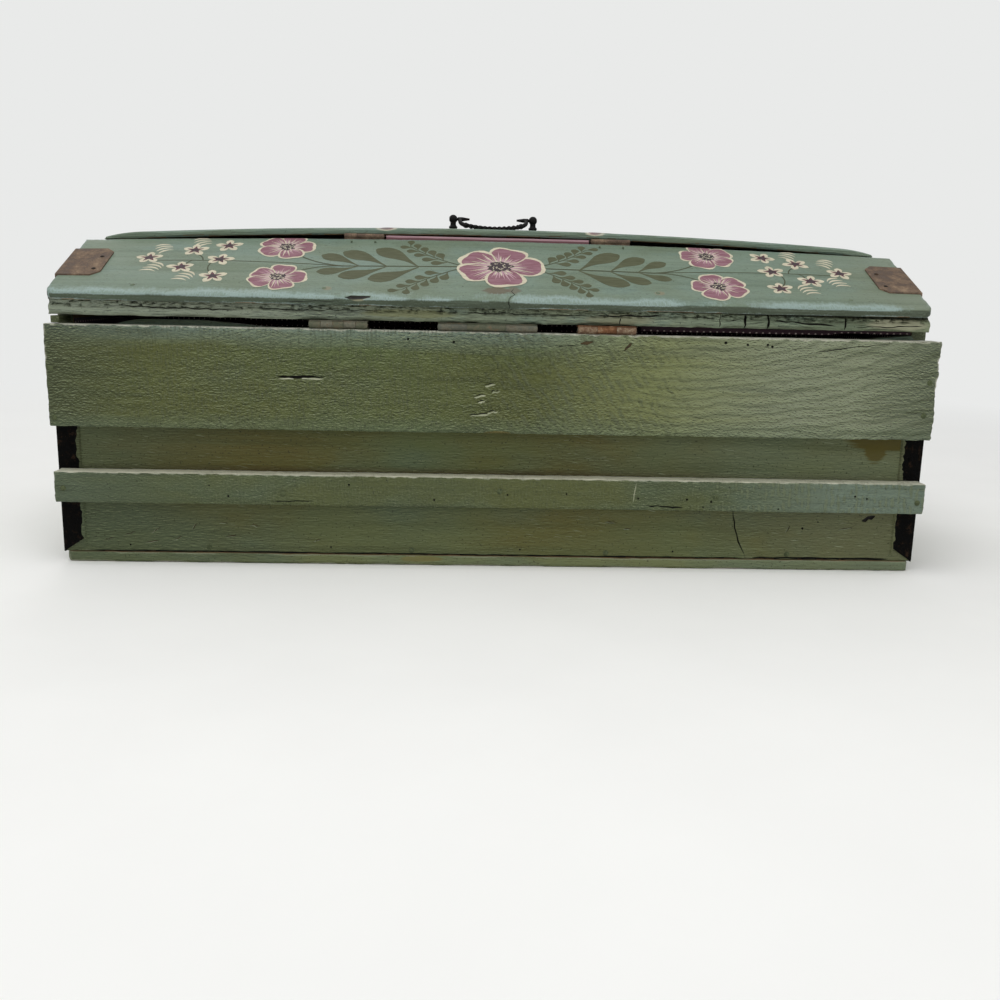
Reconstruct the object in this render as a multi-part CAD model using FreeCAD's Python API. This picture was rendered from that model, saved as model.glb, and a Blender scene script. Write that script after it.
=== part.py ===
import FreeCAD, Part
import math
import os

Vec = FreeCAD.Vector

# All sizes in millimetres. X runs along the chest, +Y from the hinge side to the front, Z up.
# The origin is on the floor, under the middle of the box.

# Box
base_half_length = 493.5
base_half_depth = 200.0
base_thickness = 12.0
base_corner_radius = 9.0
wall_half_length = 493.5
wall_half_depth = 198.0
wall_thickness = 18.0
wall_joint_height = 91.0
rim_height = 280.6
worn_rim_height = 268.0

# Rails and battens outside the long walls
rail_half_length = 493.0
rail_thickness = 27.0
rail_bottom = 160.0
rail_top = 272.0
rail_edge_round = 2.5
batten_half_length = 494.0
batten_thickness = 24.0
batten_bottom = 74.0
batten_top = 109.5
batten_edge_round = 3.0

# Corner irons
iron_thickness = 1.6
iron_leg = 24.0
iron_top = 262.0
iron_cut = 16.0
notch_clearance = 0.2

# Lining cloth inside the box
lining_thickness = 1.0
lining_rear_top = 264.0
lining_top = 276.0

# Lid: a frame of skirts and gables under two sloped panels, hanging a little to the left
lid_x = -4.7
lid_half_length = 484.0
lid_bottom = 281.0
skirt_outer = 220.0
skirt_thickness = 24.0
gable_thickness = 22.0
gable_gap = 0.4
panel_low_y = 225.0
panel_low_z = 306.0
panel_high_y = 88.0
panel_high_z = 365.0
panel_camber = 9.0
panel_edge = 9.2

# Lid straps
strap_thickness = 1.6
strap_length = 45.0
strap_low = 0.28
strap_high = 0.77
strap_clip = 9.0
strap_drop = 34.0
strap_screw_depths = (172.0, 141.0)
strap_screw_margin = 9.0
strap_end_screw_drop = 20.0

# Top flap
flap_half_length = 465.0
flap_half_width = 85.5
flap_thickness = 8.0
flap_end_z = 364.6
flap_camber = 15.0
flap_corner_radius = 8.0
flap_edge_round = 2.5

# Lid hinges, in the gap between the rear rail and the skirt:
# both ends, the joints between knuckles, and how far the leaf narrows
hinge_leaf = 1.6
hinge_leaf_width = 17.0
hinge_radius = 3.4
hinge_pin_radius = 1.6
hinge_screw_line = 0.62
hinge_screw_margin = 11.0
lower_screw_depth = 14.0
upper_screw_depth = 12.0
hinge_axis_y = -221.5
hinge_axis_z = (rail_top + lid_bottom) / 2
lid_hinges = {
    "left": (-207.5, -144.5, (-194.9, -182.3, -169.7, -157.1), 0.0),
    "middle": (-67.5, 40.9, (-35.9, 6.8), 6.0),
    "right": (86.0, 150.0, (107.3, 128.7), 0.0),
}

# Flap hinges, on the top arris of the rear lid panel
flap_hinge_centres = {"left": -160.0, "right": 136.0}
flap_hinge_length = 47.0
flap_hinge_radius = 2.75
flap_hinge_pin_radius = 1.2
flap_hinge_leaf = 1.4
flap_hinge_leaf_width = 20.0
flap_hinge_leaf_rise = 2.1
flap_screw_spread = 14.0
flap_screw_inset = 14.0
lid_screw_inset = 10.0
flap_axis_y = -86.5
flap_axis_z = 376.2
lath_ends = (-135.5, 111.5)
lath_depth = 4.5
lath_top = 377.5
lath_hold = 5.0

# Fits
pin_clearance = 0.05
knuckle_gap = 0.4
turning_room = 0.35
leaf_seat_gap = 0.1
under_panel_gap = 0.4
far = 600.0

# Handle
handle_x = -4.0
post_spacing = 102.0
ball_height = 16.0
ball_radius = 5.4
ball_gap = 0.5
post_sink = 0.1
post_shank_radius = 2.2
post_shank_length = 15.0
pintle_radius = 1.8
pintle_length = 10.0
collar_length = 6.0
tongue_length = 9.0
tongue_tip_radius = 1.2
bail_half_width = 42.0
bail_leg = 7.0
bail_shoulder_radius = 14.0
bail_shoulder_turn = math.radians(60)
bail_radius = 2.6
bail_square = 4.4
bail_twists = 3
bail_stations_per_twist = 12
bail_rest_gap = 0.6
nut_width = 9.0
nut_height = 4.0
nut_gap = 0.15

# Fasteners
nail_radius = 1.1
nail_head_radius = 3.2
nail_head_height = 1.0
panel_nail_head_radius = 2.6
screw_radius = 1.2
screw_head_radius = 2.6
screw_head_height = 1.0


def box(x0, x1, y0, y1, z0, z1):
    return Part.makeBox(x1 - x0, y1 - y0, z1 - z0, Vec(x0, y0, z0))


def flat_face(points):
    return Part.Face(Part.makePolygon(points + [points[0]]))


def polygon_prism(points, along):
    return flat_face(points).extrude(along)


def to_front(shape):
    return shape.mirror(Vec(0, 0, 0), Vec(0, 1, 0))


def to_right(shape, centre=0.0):
    return shape.mirror(Vec(centre, 0, 0), Vec(1, 0, 0))


def save(shape, node):
    shape.exportStep("parts/" + node + ".step")


def round_edges(shape, radius, direction):
    edges = []
    for edge in shape.Edges:
        run = edge.Vertexes[-1].Point - edge.Vertexes[0].Point
        if run.Length > 0 and abs(run.normalize().dot(direction)) > 0.999:
            edges.append(edge)
    return shape.makeFillet(radius, edges)


# Fasteners

def shank(point, direction, radius, length):
    return Part.makeCylinder(radius, length, point, direction * -1)


def dome_head(point, direction, radius, height):
    ball_radius_of_cap = (radius ** 2 + height ** 2) / (2 * height)
    ball = Part.makeSphere(ball_radius_of_cap, point + direction * (height - ball_radius_of_cap))
    return ball.common(Part.makeCylinder(radius + 1, height + 1, point, direction))


def nail(place, length, head_radius=nail_head_radius):
    point, direction = place
    stem = shank(point, direction, nail_radius, length)
    return stem.fuse(dome_head(point, direction, head_radius, nail_head_height))


def screw(place, length):
    point, direction = place
    stem = shank(point, direction, screw_radius, length)
    return stem.fuse(dome_head(point, direction, screw_head_radius, screw_head_height))


def stems(places, radius, length):
    return [shank(point, direction, radius, length) for point, direction in places]


def pierced(shape, solids):
    # one hole after another, for the solids that reach the shape
    for solid in solids:
        if shape.BoundBox.intersect(solid.BoundBox):
            shape = shape.cut(solid)
    return shape


def drilled(shape, places, radius, length):
    return pierced(shape, stems(places, radius, length))


# Box pieces

def base_planks():
    slab = box(-base_half_length, base_half_length, -base_half_depth, base_half_depth, 0, base_thickness)
    slab = round_edges(slab, base_corner_radius, Vec(0, 0, 1))
    third = 2 * base_half_depth / 3
    planks = []
    for row in range(3):
        y0 = -base_half_depth + row * third
        planks.append(slab.common(box(-far, far, y0, y0 + third, -1, base_thickness + 1)))
    return planks


def long_wall_lower():
    return box(-wall_half_length, wall_half_length, -wall_half_depth, -wall_half_depth + wall_thickness,
               base_thickness, wall_joint_height)


def rear_wall_upper():
    # its rim is worn away beside the hinges and stands highest on the left
    y0 = -wall_half_depth
    left_start, left_rise, left_crest, left_end = -432.0, -386.0, -331.0, -215.0
    right_start, right_crest, right_end = 385.0, 468.0, 475.0
    crest = 277.4
    corner = Vec(left_start, y0, worn_rim_height)
    bend = Vec((left_start + left_rise) / 2 - 4, y0, crest - 3)
    edges = [Part.LineSegment(Vec(-wall_half_length, y0, worn_rim_height), corner).toShape()]
    edges.append(Part.Arc(corner, bend, Vec(left_rise, y0, crest)).toShape())
    rest = [Vec(left_rise, y0, crest), Vec(left_crest, y0, crest), Vec(left_end, y0, worn_rim_height),
            Vec(right_start, y0, worn_rim_height), Vec(right_crest, y0, crest - 1.2),
            Vec(right_end, y0, worn_rim_height), Vec(wall_half_length, y0, worn_rim_height),
            Vec(wall_half_length, y0, wall_joint_height), Vec(-wall_half_length, y0, wall_joint_height),
            Vec(-wall_half_length, y0, worn_rim_height)]
    for start, end in zip(rest, rest[1:]):
        edges.append(Part.LineSegment(start, end).toShape())
    return Part.Face(Part.Wire(edges)).extrude(Vec(0, wall_thickness, 0))


def front_wall_upper():
    return box(-wall_half_length, wall_half_length, wall_half_depth - wall_thickness, wall_half_depth,
               wall_joint_height, rim_height)


def left_end():
    inner_depth = wall_half_depth - wall_thickness
    return box(-wall_half_length, -wall_half_length + wall_thickness, -inner_depth, inner_depth,
               base_thickness, rim_height)


def outer_strip(half_length, thickness, bottom, top, edge_round):
    # a rail or batten on the rear wall, notched behind its ends to sit over the corner irons
    strip = box(-half_length, half_length, -wall_half_depth - thickness, -wall_half_depth, bottom, top)
    strip = round_edges(strip, edge_round, Vec(0, 1, 0))
    depth = iron_thickness + notch_clearance
    notch = box(-half_length - 1, -wall_half_length + iron_leg + notch_clearance, -wall_half_depth - depth,
                -wall_half_depth + 1, bottom - 1, min(top + 1, iron_top + notch_clearance))
    return strip.cut([notch, to_right(notch)])


def corner_iron():
    # rear left corner: an angle of sheet iron whose rear leg is cut to a slant at the foot
    x0 = -wall_half_length - iron_thickness
    y0 = -wall_half_depth - iron_thickness
    x1 = x0 + iron_leg
    rear_leg = polygon_prism([Vec(x0, y0, base_thickness), Vec(x1, y0, base_thickness + iron_cut),
                              Vec(x1, y0, iron_top), Vec(x0, y0, iron_top)], Vec(0, iron_thickness, 0))
    end_leg = box(x0, x0 + iron_thickness, y0, y0 + iron_leg, base_thickness, iron_top)
    return rear_leg.fuse(end_leg).removeSplitter()


def iron_nail_places():
    rear_heights = (31.0, 134.0)
    end_heights = (48.0, 134.0, 220.0)
    x = -wall_half_length + iron_leg / 2
    y = -wall_half_depth + iron_leg / 2
    places = [(Vec(x, -wall_half_depth - iron_thickness, z), Vec(0, -1, 0)) for z in rear_heights]
    places += [(Vec(-wall_half_length - iron_thickness, y, z), Vec(-1, 0, 0)) for z in end_heights]
    return places


def wall_nail_places():
    rail_face = -wall_half_depth - rail_thickness
    batten_face = -wall_half_depth - batten_thickness
    rail_nails = [(-487.0, 223.8), (-486.5, 170.0), (483.0, 225.9), (480.0, 188.7)]
    batten_nails = [(-483.3, 90.5), (-240.0, 88.0), (4.0, 94.0), (251.0, 90.0), (484.7, 87.5)]
    foot_nails = [(-330.0, 18.0), (-96.5, 17.5), (130.8, 17.5), (346.0, 18.5)]
    out = Vec(0, -1, 0)
    rails = [(Vec(x, rail_face, z), out) for x, z in rail_nails]
    battens = [(Vec(x, batten_face, z), out) for x, z in batten_nails]
    foot = [(Vec(x, -wall_half_depth, z), out) for x, z in foot_nails]
    return rails, battens, foot


def linings():
    half_length = wall_half_length - wall_thickness
    half_depth = wall_half_depth - wall_thickness
    floor_top = base_thickness + lining_thickness
    floor = box(-half_length, half_length, -half_depth, half_depth, base_thickness, floor_top)
    rear = box(-half_length, half_length, -half_depth, -half_depth + lining_thickness,
               floor_top, lining_rear_top)
    front = box(-half_length, half_length, half_depth - lining_thickness, half_depth, floor_top, lining_top)
    depth = half_depth - lining_thickness
    left = box(-half_length, -half_length + lining_thickness, -depth, depth, floor_top, lining_top)
    return {"floor": floor, "rear": rear, "front": front, "left": left, "right": to_right(left)}


# Lid pieces

def panel_rise(x):
    # how far the cambered top edge of a panel stands above its ends
    return panel_camber * (1 - ((x - lid_x) / lid_half_length) ** 2)


def panel_top(x, depth):
    # height of the rear panel's outer face at a depth measured from the chest's middle
    share = (panel_low_y - depth) / (panel_low_y - panel_high_y)
    return panel_low_z + share * (panel_high_z + panel_rise(x) - panel_low_z)


def panel_edge_wire(y, end_z, camber, low, high, half_length):
    x0 = lid_x - half_length
    x1 = lid_x + half_length

    def long_edge(lift, forward):
        start, end = (x0, x1) if forward else (x1, x0)
        a = Vec(start, y, end_z + lift)
        b = Vec(end, y, end_z + lift)
        if camber == 0:
            return Part.LineSegment(a, b).toShape()
        bow = Part.BezierCurve()
        bow.setPoles([a, Vec(lid_x, y, end_z + 2 * camber + lift), b])
        return bow.toShape()

    right = Part.LineSegment(Vec(x1, y, end_z + low), Vec(x1, y, end_z + high)).toShape()
    left = Part.LineSegment(Vec(x0, y, end_z + high), Vec(x0, y, end_z + low)).toShape()
    return Part.Wire([long_edge(low, True), right, long_edge(high, False), left])


def panel_space(low, high, half_length=lid_half_length):
    # the space between two copies of the rear panel's outer face, moved straight up by low and high
    lower = panel_edge_wire(-panel_low_y, panel_low_z, 0, low, high, half_length)
    upper = panel_edge_wire(-panel_high_y, panel_high_z, panel_camber, low, high, half_length)
    return Part.makeLoft([lower, upper], True, True)


def over_panels():
    # everything from the undersides of both panels up, which trims the lid's frame to seat them
    rear = panel_space(-panel_edge, far)
    return [rear, to_front(rear)]


def rear_skirt(trim):
    x0 = lid_x - lid_half_length
    x1 = lid_x + lid_half_length
    return box(x0, x1, -skirt_outer, -skirt_outer + skirt_thickness, lid_bottom, panel_high_z).cut(trim)


def left_gable(trim):
    half_depth = skirt_outer - skirt_thickness
    x0 = lid_x - lid_half_length
    top = flap_end_z - gable_gap
    return box(x0, x0 + gable_thickness, -half_depth, half_depth, lid_bottom, top).cut(trim)


def strap_rear_left():
    # one plate over the panel's end, bent down over the gable
    x0 = lid_x - lid_half_length - strap_thickness
    x1 = lid_x - lid_half_length + strap_length
    run = panel_low_y - panel_high_y
    y_low = -panel_low_y + strap_low * run
    y_high = -panel_low_y + strap_high * run
    outline = [Vec(x0, y_low, 0), Vec(x1 - strap_clip, y_low, 0), Vec(x1, y_low + strap_clip, 0),
               Vec(x1, y_high - strap_clip, 0), Vec(x1 - strap_clip, y_high, 0), Vec(x0, y_high, 0)]
    sheet = panel_space(0, strap_thickness, lid_half_length + strap_thickness)
    top_leg = sheet.common(polygon_prism(outline, Vec(0, 0, far)))
    wide = panel_space(-strap_drop, strap_thickness, lid_half_length + strap_thickness)
    end_leg = wide.common(box(x0, x0 + strap_thickness, y_low, y_high, 0, far))
    return top_leg.fuse(end_leg).removeSplitter()


def panel_place(x, depth, lift=0.0):
    # a point over the rear panel and the direction square to it there
    slope = (panel_high_z + panel_rise(x) - panel_low_z) / (panel_low_y - panel_high_y)
    direction = Vec(0, -slope, 1).normalize()
    return Vec(x, -depth, panel_top(x, depth)) + direction * lift, direction


def strap_screw_places():
    x = lid_x - lid_half_length + strap_length - strap_screw_margin
    lift = strap_thickness * panel_place(x, panel_high_y)[1].z + 2 * leaf_seat_gap
    top = [panel_place(x, depth, lift) for depth in strap_screw_depths]
    end_x = lid_x - lid_half_length - strap_thickness
    end = [(Vec(end_x, -depth, panel_top(x, depth) - strap_end_screw_drop), Vec(-1, 0, 0))
           for depth in strap_screw_depths]
    return top + end


def panel_nail_places():
    spots = ((-400.0, 207.0), (-193.0, 206.0), (176.0, 201.0), (392.0, 206.0))
    return [panel_place(x, depth) for x, depth in spots]


def lath():
    # a thin lath on the edge of the panel, between the flap hinges, that stands a little above the arris
    low = panel_high_z + panel_camber - lath_hold
    return box(lath_ends[0], lath_ends[1], -panel_high_y, -panel_high_y + lath_depth, low, lath_top)


# Hinges

def knuckles(x0, x1, joints, own, axis, radius, bore):
    # the knuckles of one leaf, every second one along the barrel
    ends = [x0] + list(joints) + [x1]
    solids = []
    for number, (start, end) in enumerate(zip(ends, ends[1:])):
        if number % 2 != own:
            continue
        start += knuckle_gap / 2 if number > 0 else 0
        end -= knuckle_gap / 2 if number < len(ends) - 2 else 0
        foot = Vec(start, axis.y, axis.z)
        tube = Part.makeCylinder(radius, end - start, foot, Vec(1, 0, 0))
        solids.append(tube.cut(Part.makeCylinder(bore, end - start, foot, Vec(1, 0, 0))))
    return solids


def knuckle_room(x0, x1, joints, other, axis, radius):
    # room that a leaf leaves round the other leaf's knuckles
    ends = [x0] + list(joints) + [x1]
    room = []
    for number, (start, end) in enumerate(zip(ends, ends[1:])):
        if number % 2 != other:
            continue
        length = end - start + knuckle_gap
        foot = Vec(start - knuckle_gap / 2, axis.y, axis.z)
        room.append(Part.makeCylinder(radius + turning_room, length, foot, Vec(1, 0, 0)))
    return room


def leaf_with_knuckles(plate, x0, x1, joints, own, axis, radius, pin_radius):
    bore = pin_radius + pin_clearance
    barrel = Part.makeCylinder(bore, x1 - x0 + 2, Vec(x0 - 1, axis.y, axis.z), Vec(1, 0, 0))
    plate = plate.cut(knuckle_room(x0, x1, joints, 1 - own, axis, radius) + [barrel])
    return plate.fuse(knuckles(x0, x1, joints, own, axis, radius, bore))


def lid_hinge_leaf(x0, x1, joints, flare, upper):
    axis = Vec(0, hinge_axis_y, hinge_axis_z)
    z0 = lid_bottom - hinge_leaf if upper else rail_top
    y1 = hinge_axis_y + hinge_leaf_width
    outline = [Vec(x0, hinge_axis_y, z0), Vec(x1, hinge_axis_y, z0),
               Vec(x1 - flare, y1, z0), Vec(x0 + flare, y1, z0)]
    plate = polygon_prism(outline, Vec(0, 0, hinge_leaf))
    own = 1 if upper else 0
    return leaf_with_knuckles(plate, x0, x1, joints, own, axis, hinge_radius, hinge_pin_radius)


def hinge_pin(x0, x1, axis, radius):
    overhang = 0.6
    foot = Vec(x0 - overhang, axis.y, axis.z)
    return Part.makeCylinder(radius, x1 - x0 + 2 * overhang, foot, Vec(1, 0, 0))


def lid_hinge_screw_places(x0, x1, upper):
    y = hinge_axis_y + hinge_leaf_width * hinge_screw_line
    margin = hinge_screw_margin
    if upper:
        z, direction = lid_bottom - hinge_leaf, Vec(0, 0, -1)
    else:
        z, direction = rail_top + hinge_leaf, Vec(0, 0, 1)
    return [(Vec(x, y, z), direction) for x in (x0 + margin, (x0 + x1) / 2, x1 - margin)]


def flap_hinge_span(centre):
    x0 = centre - flap_hinge_length / 2
    x1 = centre + flap_hinge_length / 2
    third = flap_hinge_length / 3
    return x0, x1, (x0 + third, x1 - third)


def flap_hinge_lid_leaf(centre):
    # down over the panel's edge, then bent to lie under the panel
    x0, x1, joints = flap_hinge_span(centre)
    axis = Vec(0, flap_axis_y, flap_axis_z)
    edge_y = -panel_high_y + leaf_seat_gap
    slope = (panel_high_z + panel_rise(centre) - panel_low_z) / (panel_low_y - panel_high_y)
    under = panel_top(centre, -edge_y) - panel_edge - under_panel_gap
    reach = flap_hinge_leaf_width
    drop = flap_hinge_leaf * math.hypot(1, slope)
    inner_y = edge_y + flap_hinge_leaf
    outline = [(edge_y, flap_axis_z), (inner_y, flap_axis_z),
               (inner_y, under - drop + flap_hinge_leaf * slope),
               (edge_y - reach, under - drop - reach * slope), (edge_y - reach, under - reach * slope),
               (edge_y, under)]
    plate = polygon_prism([Vec(x0, y, z) for y, z in outline], Vec(flap_hinge_length, 0, 0))
    return leaf_with_knuckles(plate, x0, x1, joints, 0, axis, flap_hinge_radius, flap_hinge_pin_radius)


def flap_hinge_flap_leaf(centre):
    # lies in a shallow bed under the plank
    x0, x1, joints = flap_hinge_span(centre)
    axis = Vec(0, flap_axis_y, flap_axis_z)
    top = flap_axis_z + flap_hinge_leaf_rise
    plate = box(x0, x1, flap_axis_y, flap_axis_y + flap_hinge_leaf_width, top - flap_hinge_leaf, top)
    return leaf_with_knuckles(plate, x0, x1, joints, 1, axis, flap_hinge_radius, flap_hinge_pin_radius)


def flap_hinge_screw_places(centre, on_flap):
    spread = flap_screw_spread
    if on_flap:
        z = flap_axis_z + flap_hinge_leaf_rise - flap_hinge_leaf
        y = flap_axis_y + flap_screw_inset
        return [(Vec(centre + dx, y, z), Vec(0, 0, -1)) for dx in (-spread, spread)]
    places = []
    point, direction = panel_place(centre, panel_high_y + lid_screw_inset)
    depth = (panel_edge + under_panel_gap) * direction.z + flap_hinge_leaf
    for dx in (-spread, spread):
        places.append((point - direction * depth + Vec(dx, 0, 0), direction * -1))
    return places


# Flap and handle

def flap_bottom(x):
    return flap_end_z + flap_camber * (1 - ((x - lid_x) / flap_half_length) ** 2)


def flap_plank():
    x0 = lid_x - flap_half_length
    x1 = lid_x + flap_half_length

    def arch(lift):
        return Part.Arc(Vec(x0, -flap_half_width, flap_end_z + lift),
                        Vec(lid_x, -flap_half_width, flap_end_z + flap_camber + lift),
                        Vec(x1, -flap_half_width, flap_end_z + lift)).toShape()

    left = Part.LineSegment(Vec(x0, -flap_half_width, flap_end_z),
                            Vec(x0, -flap_half_width, flap_end_z + flap_thickness)).toShape()
    right = Part.LineSegment(Vec(x1, -flap_half_width, flap_end_z + flap_thickness),
                             Vec(x1, -flap_half_width, flap_end_z)).toShape()
    outline = Part.Wire(Part.__sortEdges__([arch(0), right, arch(flap_thickness), left]))
    plank = Part.Face(outline).extrude(Vec(0, 2 * flap_half_width, 0))
    plank = round_edges(plank, flap_corner_radius, Vec(0, 0, 1))
    above = flap_end_z + flap_thickness + flap_camber / 2.5
    top_edges = [edge for edge in plank.Edges
                 if edge.Length > flap_half_length and edge.CenterOfMass.z > above]
    return plank.makeFillet(flap_edge_round, top_edges)


def post_x(side):
    return handle_x + side * post_spacing / 2


def handle_post(side):
    # turned profile: flange, two rings, neck and ball, with a shank through the plank
    x = post_x(side)
    foot = flap_bottom(x) + flap_thickness - post_sink
    ball = foot + ball_height
    neck_radius = 3.6
    meet = ball - math.sqrt(ball_radius ** 2 - neck_radius ** 2)
    end = foot - post_shank_length
    profile = [(0, end), (post_shank_radius, end), (post_shank_radius, foot), (6.2, foot),
               (6.2, foot + 2.6), (4.6, foot + 3.4), (4.6, foot + 4.2), (5.4, foot + 5.0),
               (5.4, foot + 6.6), (4.4, foot + 7.4), (neck_radius, foot + 9.0), (neck_radius, meet)]
    points = [Vec(x + r, 0, z) for r, z in profile]
    edges = [Part.LineSegment(a, b).toShape() for a, b in zip(points, points[1:])]
    crown = Vec(x, 0, ball + ball_radius)
    edges.append(Part.Arc(points[-1], Vec(x + ball_radius, 0, ball), crown).toShape())
    edges.append(Part.LineSegment(crown, points[0]).toShape())
    post = Part.Face(Part.Wire(edges)).revolve(Vec(x, 0, 0), Vec(0, 0, 1), 360)
    start = Vec(x - 2 * ball_radius, 0, pivot_height())
    bore = Part.makeCylinder(pintle_radius + pin_clearance, 4 * ball_radius, start, Vec(1, 0, 0))
    return post.cut(bore)


def pivot_height():
    return flap_bottom(post_x(1)) + flap_thickness - post_sink + ball_height


def handle_nut(side):
    x = post_x(side)
    top = flap_bottom(x) - nut_gap
    half = nut_width / 2
    body = box(x - half, x + half, -half, half, top - nut_height, top)
    return body.cut(Part.makeCylinder(post_shank_radius, 30, Vec(x, 0, top - 20), Vec(0, 0, 1)))


def bail_depth():
    shoulder = bail_shoulder_turn
    grip_radius = bail_grip_radius()
    return bail_leg + bail_shoulder_radius * math.sin(shoulder) + grip_radius * (1 - math.sin(shoulder))


def bail_grip_radius():
    shoulder = bail_shoulder_turn
    inset = bail_half_width - bail_shoulder_radius + bail_shoulder_radius * math.cos(shoulder)
    return inset / math.cos(shoulder)


def bail_tilt():
    # at rest the grip lies just over the plank, on the hinge side
    drop = ball_height - bail_square / math.sqrt(2) - bail_rest_gap
    return math.asin(drop / bail_depth())


def bail_point(across, out):
    # a point in the bail's own plane: along the pivot line, and out from it
    tilt = bail_tilt()
    return Vec(handle_x + across, -out * math.cos(tilt), pivot_height() - out * math.sin(tilt))


def grip_station(turn):
    # a point of the grip's long arc, turn measured from its middle
    radius = bail_grip_radius()
    centre = bail_depth() - radius
    return radius * math.sin(turn), centre + radius * math.cos(turn)


def twisted_grip():
    # a square bar twisted along the grip's arc: turned squares joined by flat triangles
    half_turn = math.pi / 2 - bail_shoulder_turn
    count = bail_twists * bail_stations_per_twist
    tilt = bail_tilt()
    upright = Vec(0, -math.sin(tilt), math.cos(tilt))
    reach = bail_square / math.sqrt(2)
    squares = []
    for station in range(count + 1):
        turn = -half_turn + 2 * half_turn * station / count
        across, out = grip_station(turn)
        centre = bail_point(across, out)
        outward = Vec(math.sin(turn), -math.cos(turn) * math.cos(tilt), -math.cos(turn) * math.sin(tilt))
        corners = []
        for corner in range(4):
            angle = 2 * math.pi * (station / bail_stations_per_twist + corner / 4)
            spoke = outward * math.cos(angle) + upright * math.sin(angle)
            corners.append(centre + spoke * reach)
        squares.append(corners)
    faces = [flat_face(squares[0][::-1]), flat_face(squares[-1])]
    for near, next_one in zip(squares, squares[1:]):
        for corner in range(4):
            after = (corner + 1) % 4
            faces.append(flat_face([near[corner], near[after], next_one[after]]))
            faces.append(flat_face([near[corner], next_one[after], next_one[corner]]))
    return Part.Solid(Part.Shell(faces))


def bail_arm(side):
    # pintle in the ball, leaf-shaped tongue, and the round arm that curves into the grip
    shoulder = bail_shoulder_turn
    inner = bail_half_width - bail_shoulder_radius
    ball_side = post_spacing / 2 - ball_radius - ball_gap
    axis = Vec(-side, 0, 0)
    pintle = Part.makeCylinder(pintle_radius, pintle_length,
                               bail_point(side * (ball_side + pintle_length / 2), 0), axis)
    collar = Part.makeCylinder(bail_radius, collar_length, bail_point(side * ball_side, 0), axis)
    tongue = Part.makeCone(bail_radius, tongue_tip_radius, tongue_length,
                           bail_point(side * (ball_side - collar_length), 0), axis)
    start = bail_point(side * bail_half_width, 0)
    bend = bail_point(side * bail_half_width, bail_leg)
    middle = bail_point(side * (inner + bail_shoulder_radius * math.cos(shoulder / 2)),
                        bail_leg + bail_shoulder_radius * math.sin(shoulder / 2))
    end = bail_point(side * (inner + bail_shoulder_radius * math.cos(shoulder)),
                     bail_leg + bail_shoulder_radius * math.sin(shoulder))
    path = Part.Wire([Part.LineSegment(start, bend).toShape(), Part.Arc(bend, middle, end).toShape()])
    circle = Part.Wire(Part.makeCircle(bail_radius, start, bend - start))
    arm = path.makePipeShell([circle], True, False)
    bead = Part.makeSphere(bail_square * 0.78, end)
    return pintle.fuse([collar, tongue, arm, bead])


def handle_bail():
    return twisted_grip().fuse(bail_arm(1)).fuse(bail_arm(-1))


# Build

def build_box():
    for plank, name in zip(base_planks(), ("rear", "middle", "front")):
        save(plank, "base_plank_" + name)

    rail_nails, batten_nails, foot_nails = wall_nail_places()
    rail_depth = rail_thickness + 10
    batten_depth = batten_thickness + 10
    foot_depth = wall_thickness - 3
    rail = outer_strip(rail_half_length, rail_thickness, rail_bottom, rail_top, rail_edge_round)
    batten = outer_strip(batten_half_length, batten_thickness, batten_bottom, batten_top, batten_edge_round)
    rail = drilled(rail, rail_nails, nail_radius, rail_depth)
    batten = drilled(batten, batten_nails, nail_radius, batten_depth)
    lower = long_wall_lower()
    nails = [nail(place, rail_depth) for place in rail_nails]
    nails += [nail(place, batten_depth) for place in batten_nails]
    nails += [nail(place, foot_depth) for place in foot_nails]
    iron = corner_iron()
    iron_places = iron_nail_places()
    iron_depth = 15.0
    iron_nails = [nail(place, iron_depth) for place in iron_places]
    corner_stems = stems(iron_places, nail_radius, iron_depth)
    wall_stems = stems(rail_nails, nail_radius, rail_depth) + stems(batten_nails, nail_radius, batten_depth)
    wall_stems += stems(foot_nails, nail_radius, foot_depth)
    rear_stems = wall_stems + corner_stems + [to_right(stem) for stem in corner_stems]
    front_stems = [to_front(stem) for stem in rear_stems]
    lower = pierced(lower, rear_stems)
    save(lower, "rear_board_lower")
    save(to_front(lower), "front_board_lower")
    save(pierced(rear_wall_upper(), rear_stems), "rear_board_upper")
    save(pierced(front_wall_upper(), front_stems), "front_board_upper")
    save(pierced(left_end(), rear_stems + front_stems), "left_end_board")
    save(pierced(to_right(left_end()), rear_stems + front_stems), "right_end_board")
    save(Part.makeCompound(nails), "rear_wall_nails")
    save(Part.makeCompound([to_front(solid) for solid in nails]), "front_wall_nails")

    hinge_places = []
    for x0, x1, joints, flare in lid_hinges.values():
        hinge_places += lid_hinge_screw_places(x0, x1, False)
    save(drilled(rail, hinge_places, screw_radius, lower_screw_depth), "rear_top_rail")
    save(to_front(rail), "front_top_rail")
    save(batten, "rear_batten")
    save(to_front(batten), "front_batten")

    corners = {"rear_left": lambda s: s, "rear_right": to_right, "front_left": to_front,
               "front_right": lambda s: to_front(to_right(s))}
    all_iron_nails = []
    for name, place in corners.items():
        save(pierced(place(iron), rear_stems + front_stems), "corner_iron_" + name)
        all_iron_nails += [place(solid) for solid in iron_nails]
    save(Part.makeCompound(all_iron_nails), "corner_iron_nails")
    for name, sheet in linings().items():
        save(sheet, "lining_" + name)


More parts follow.
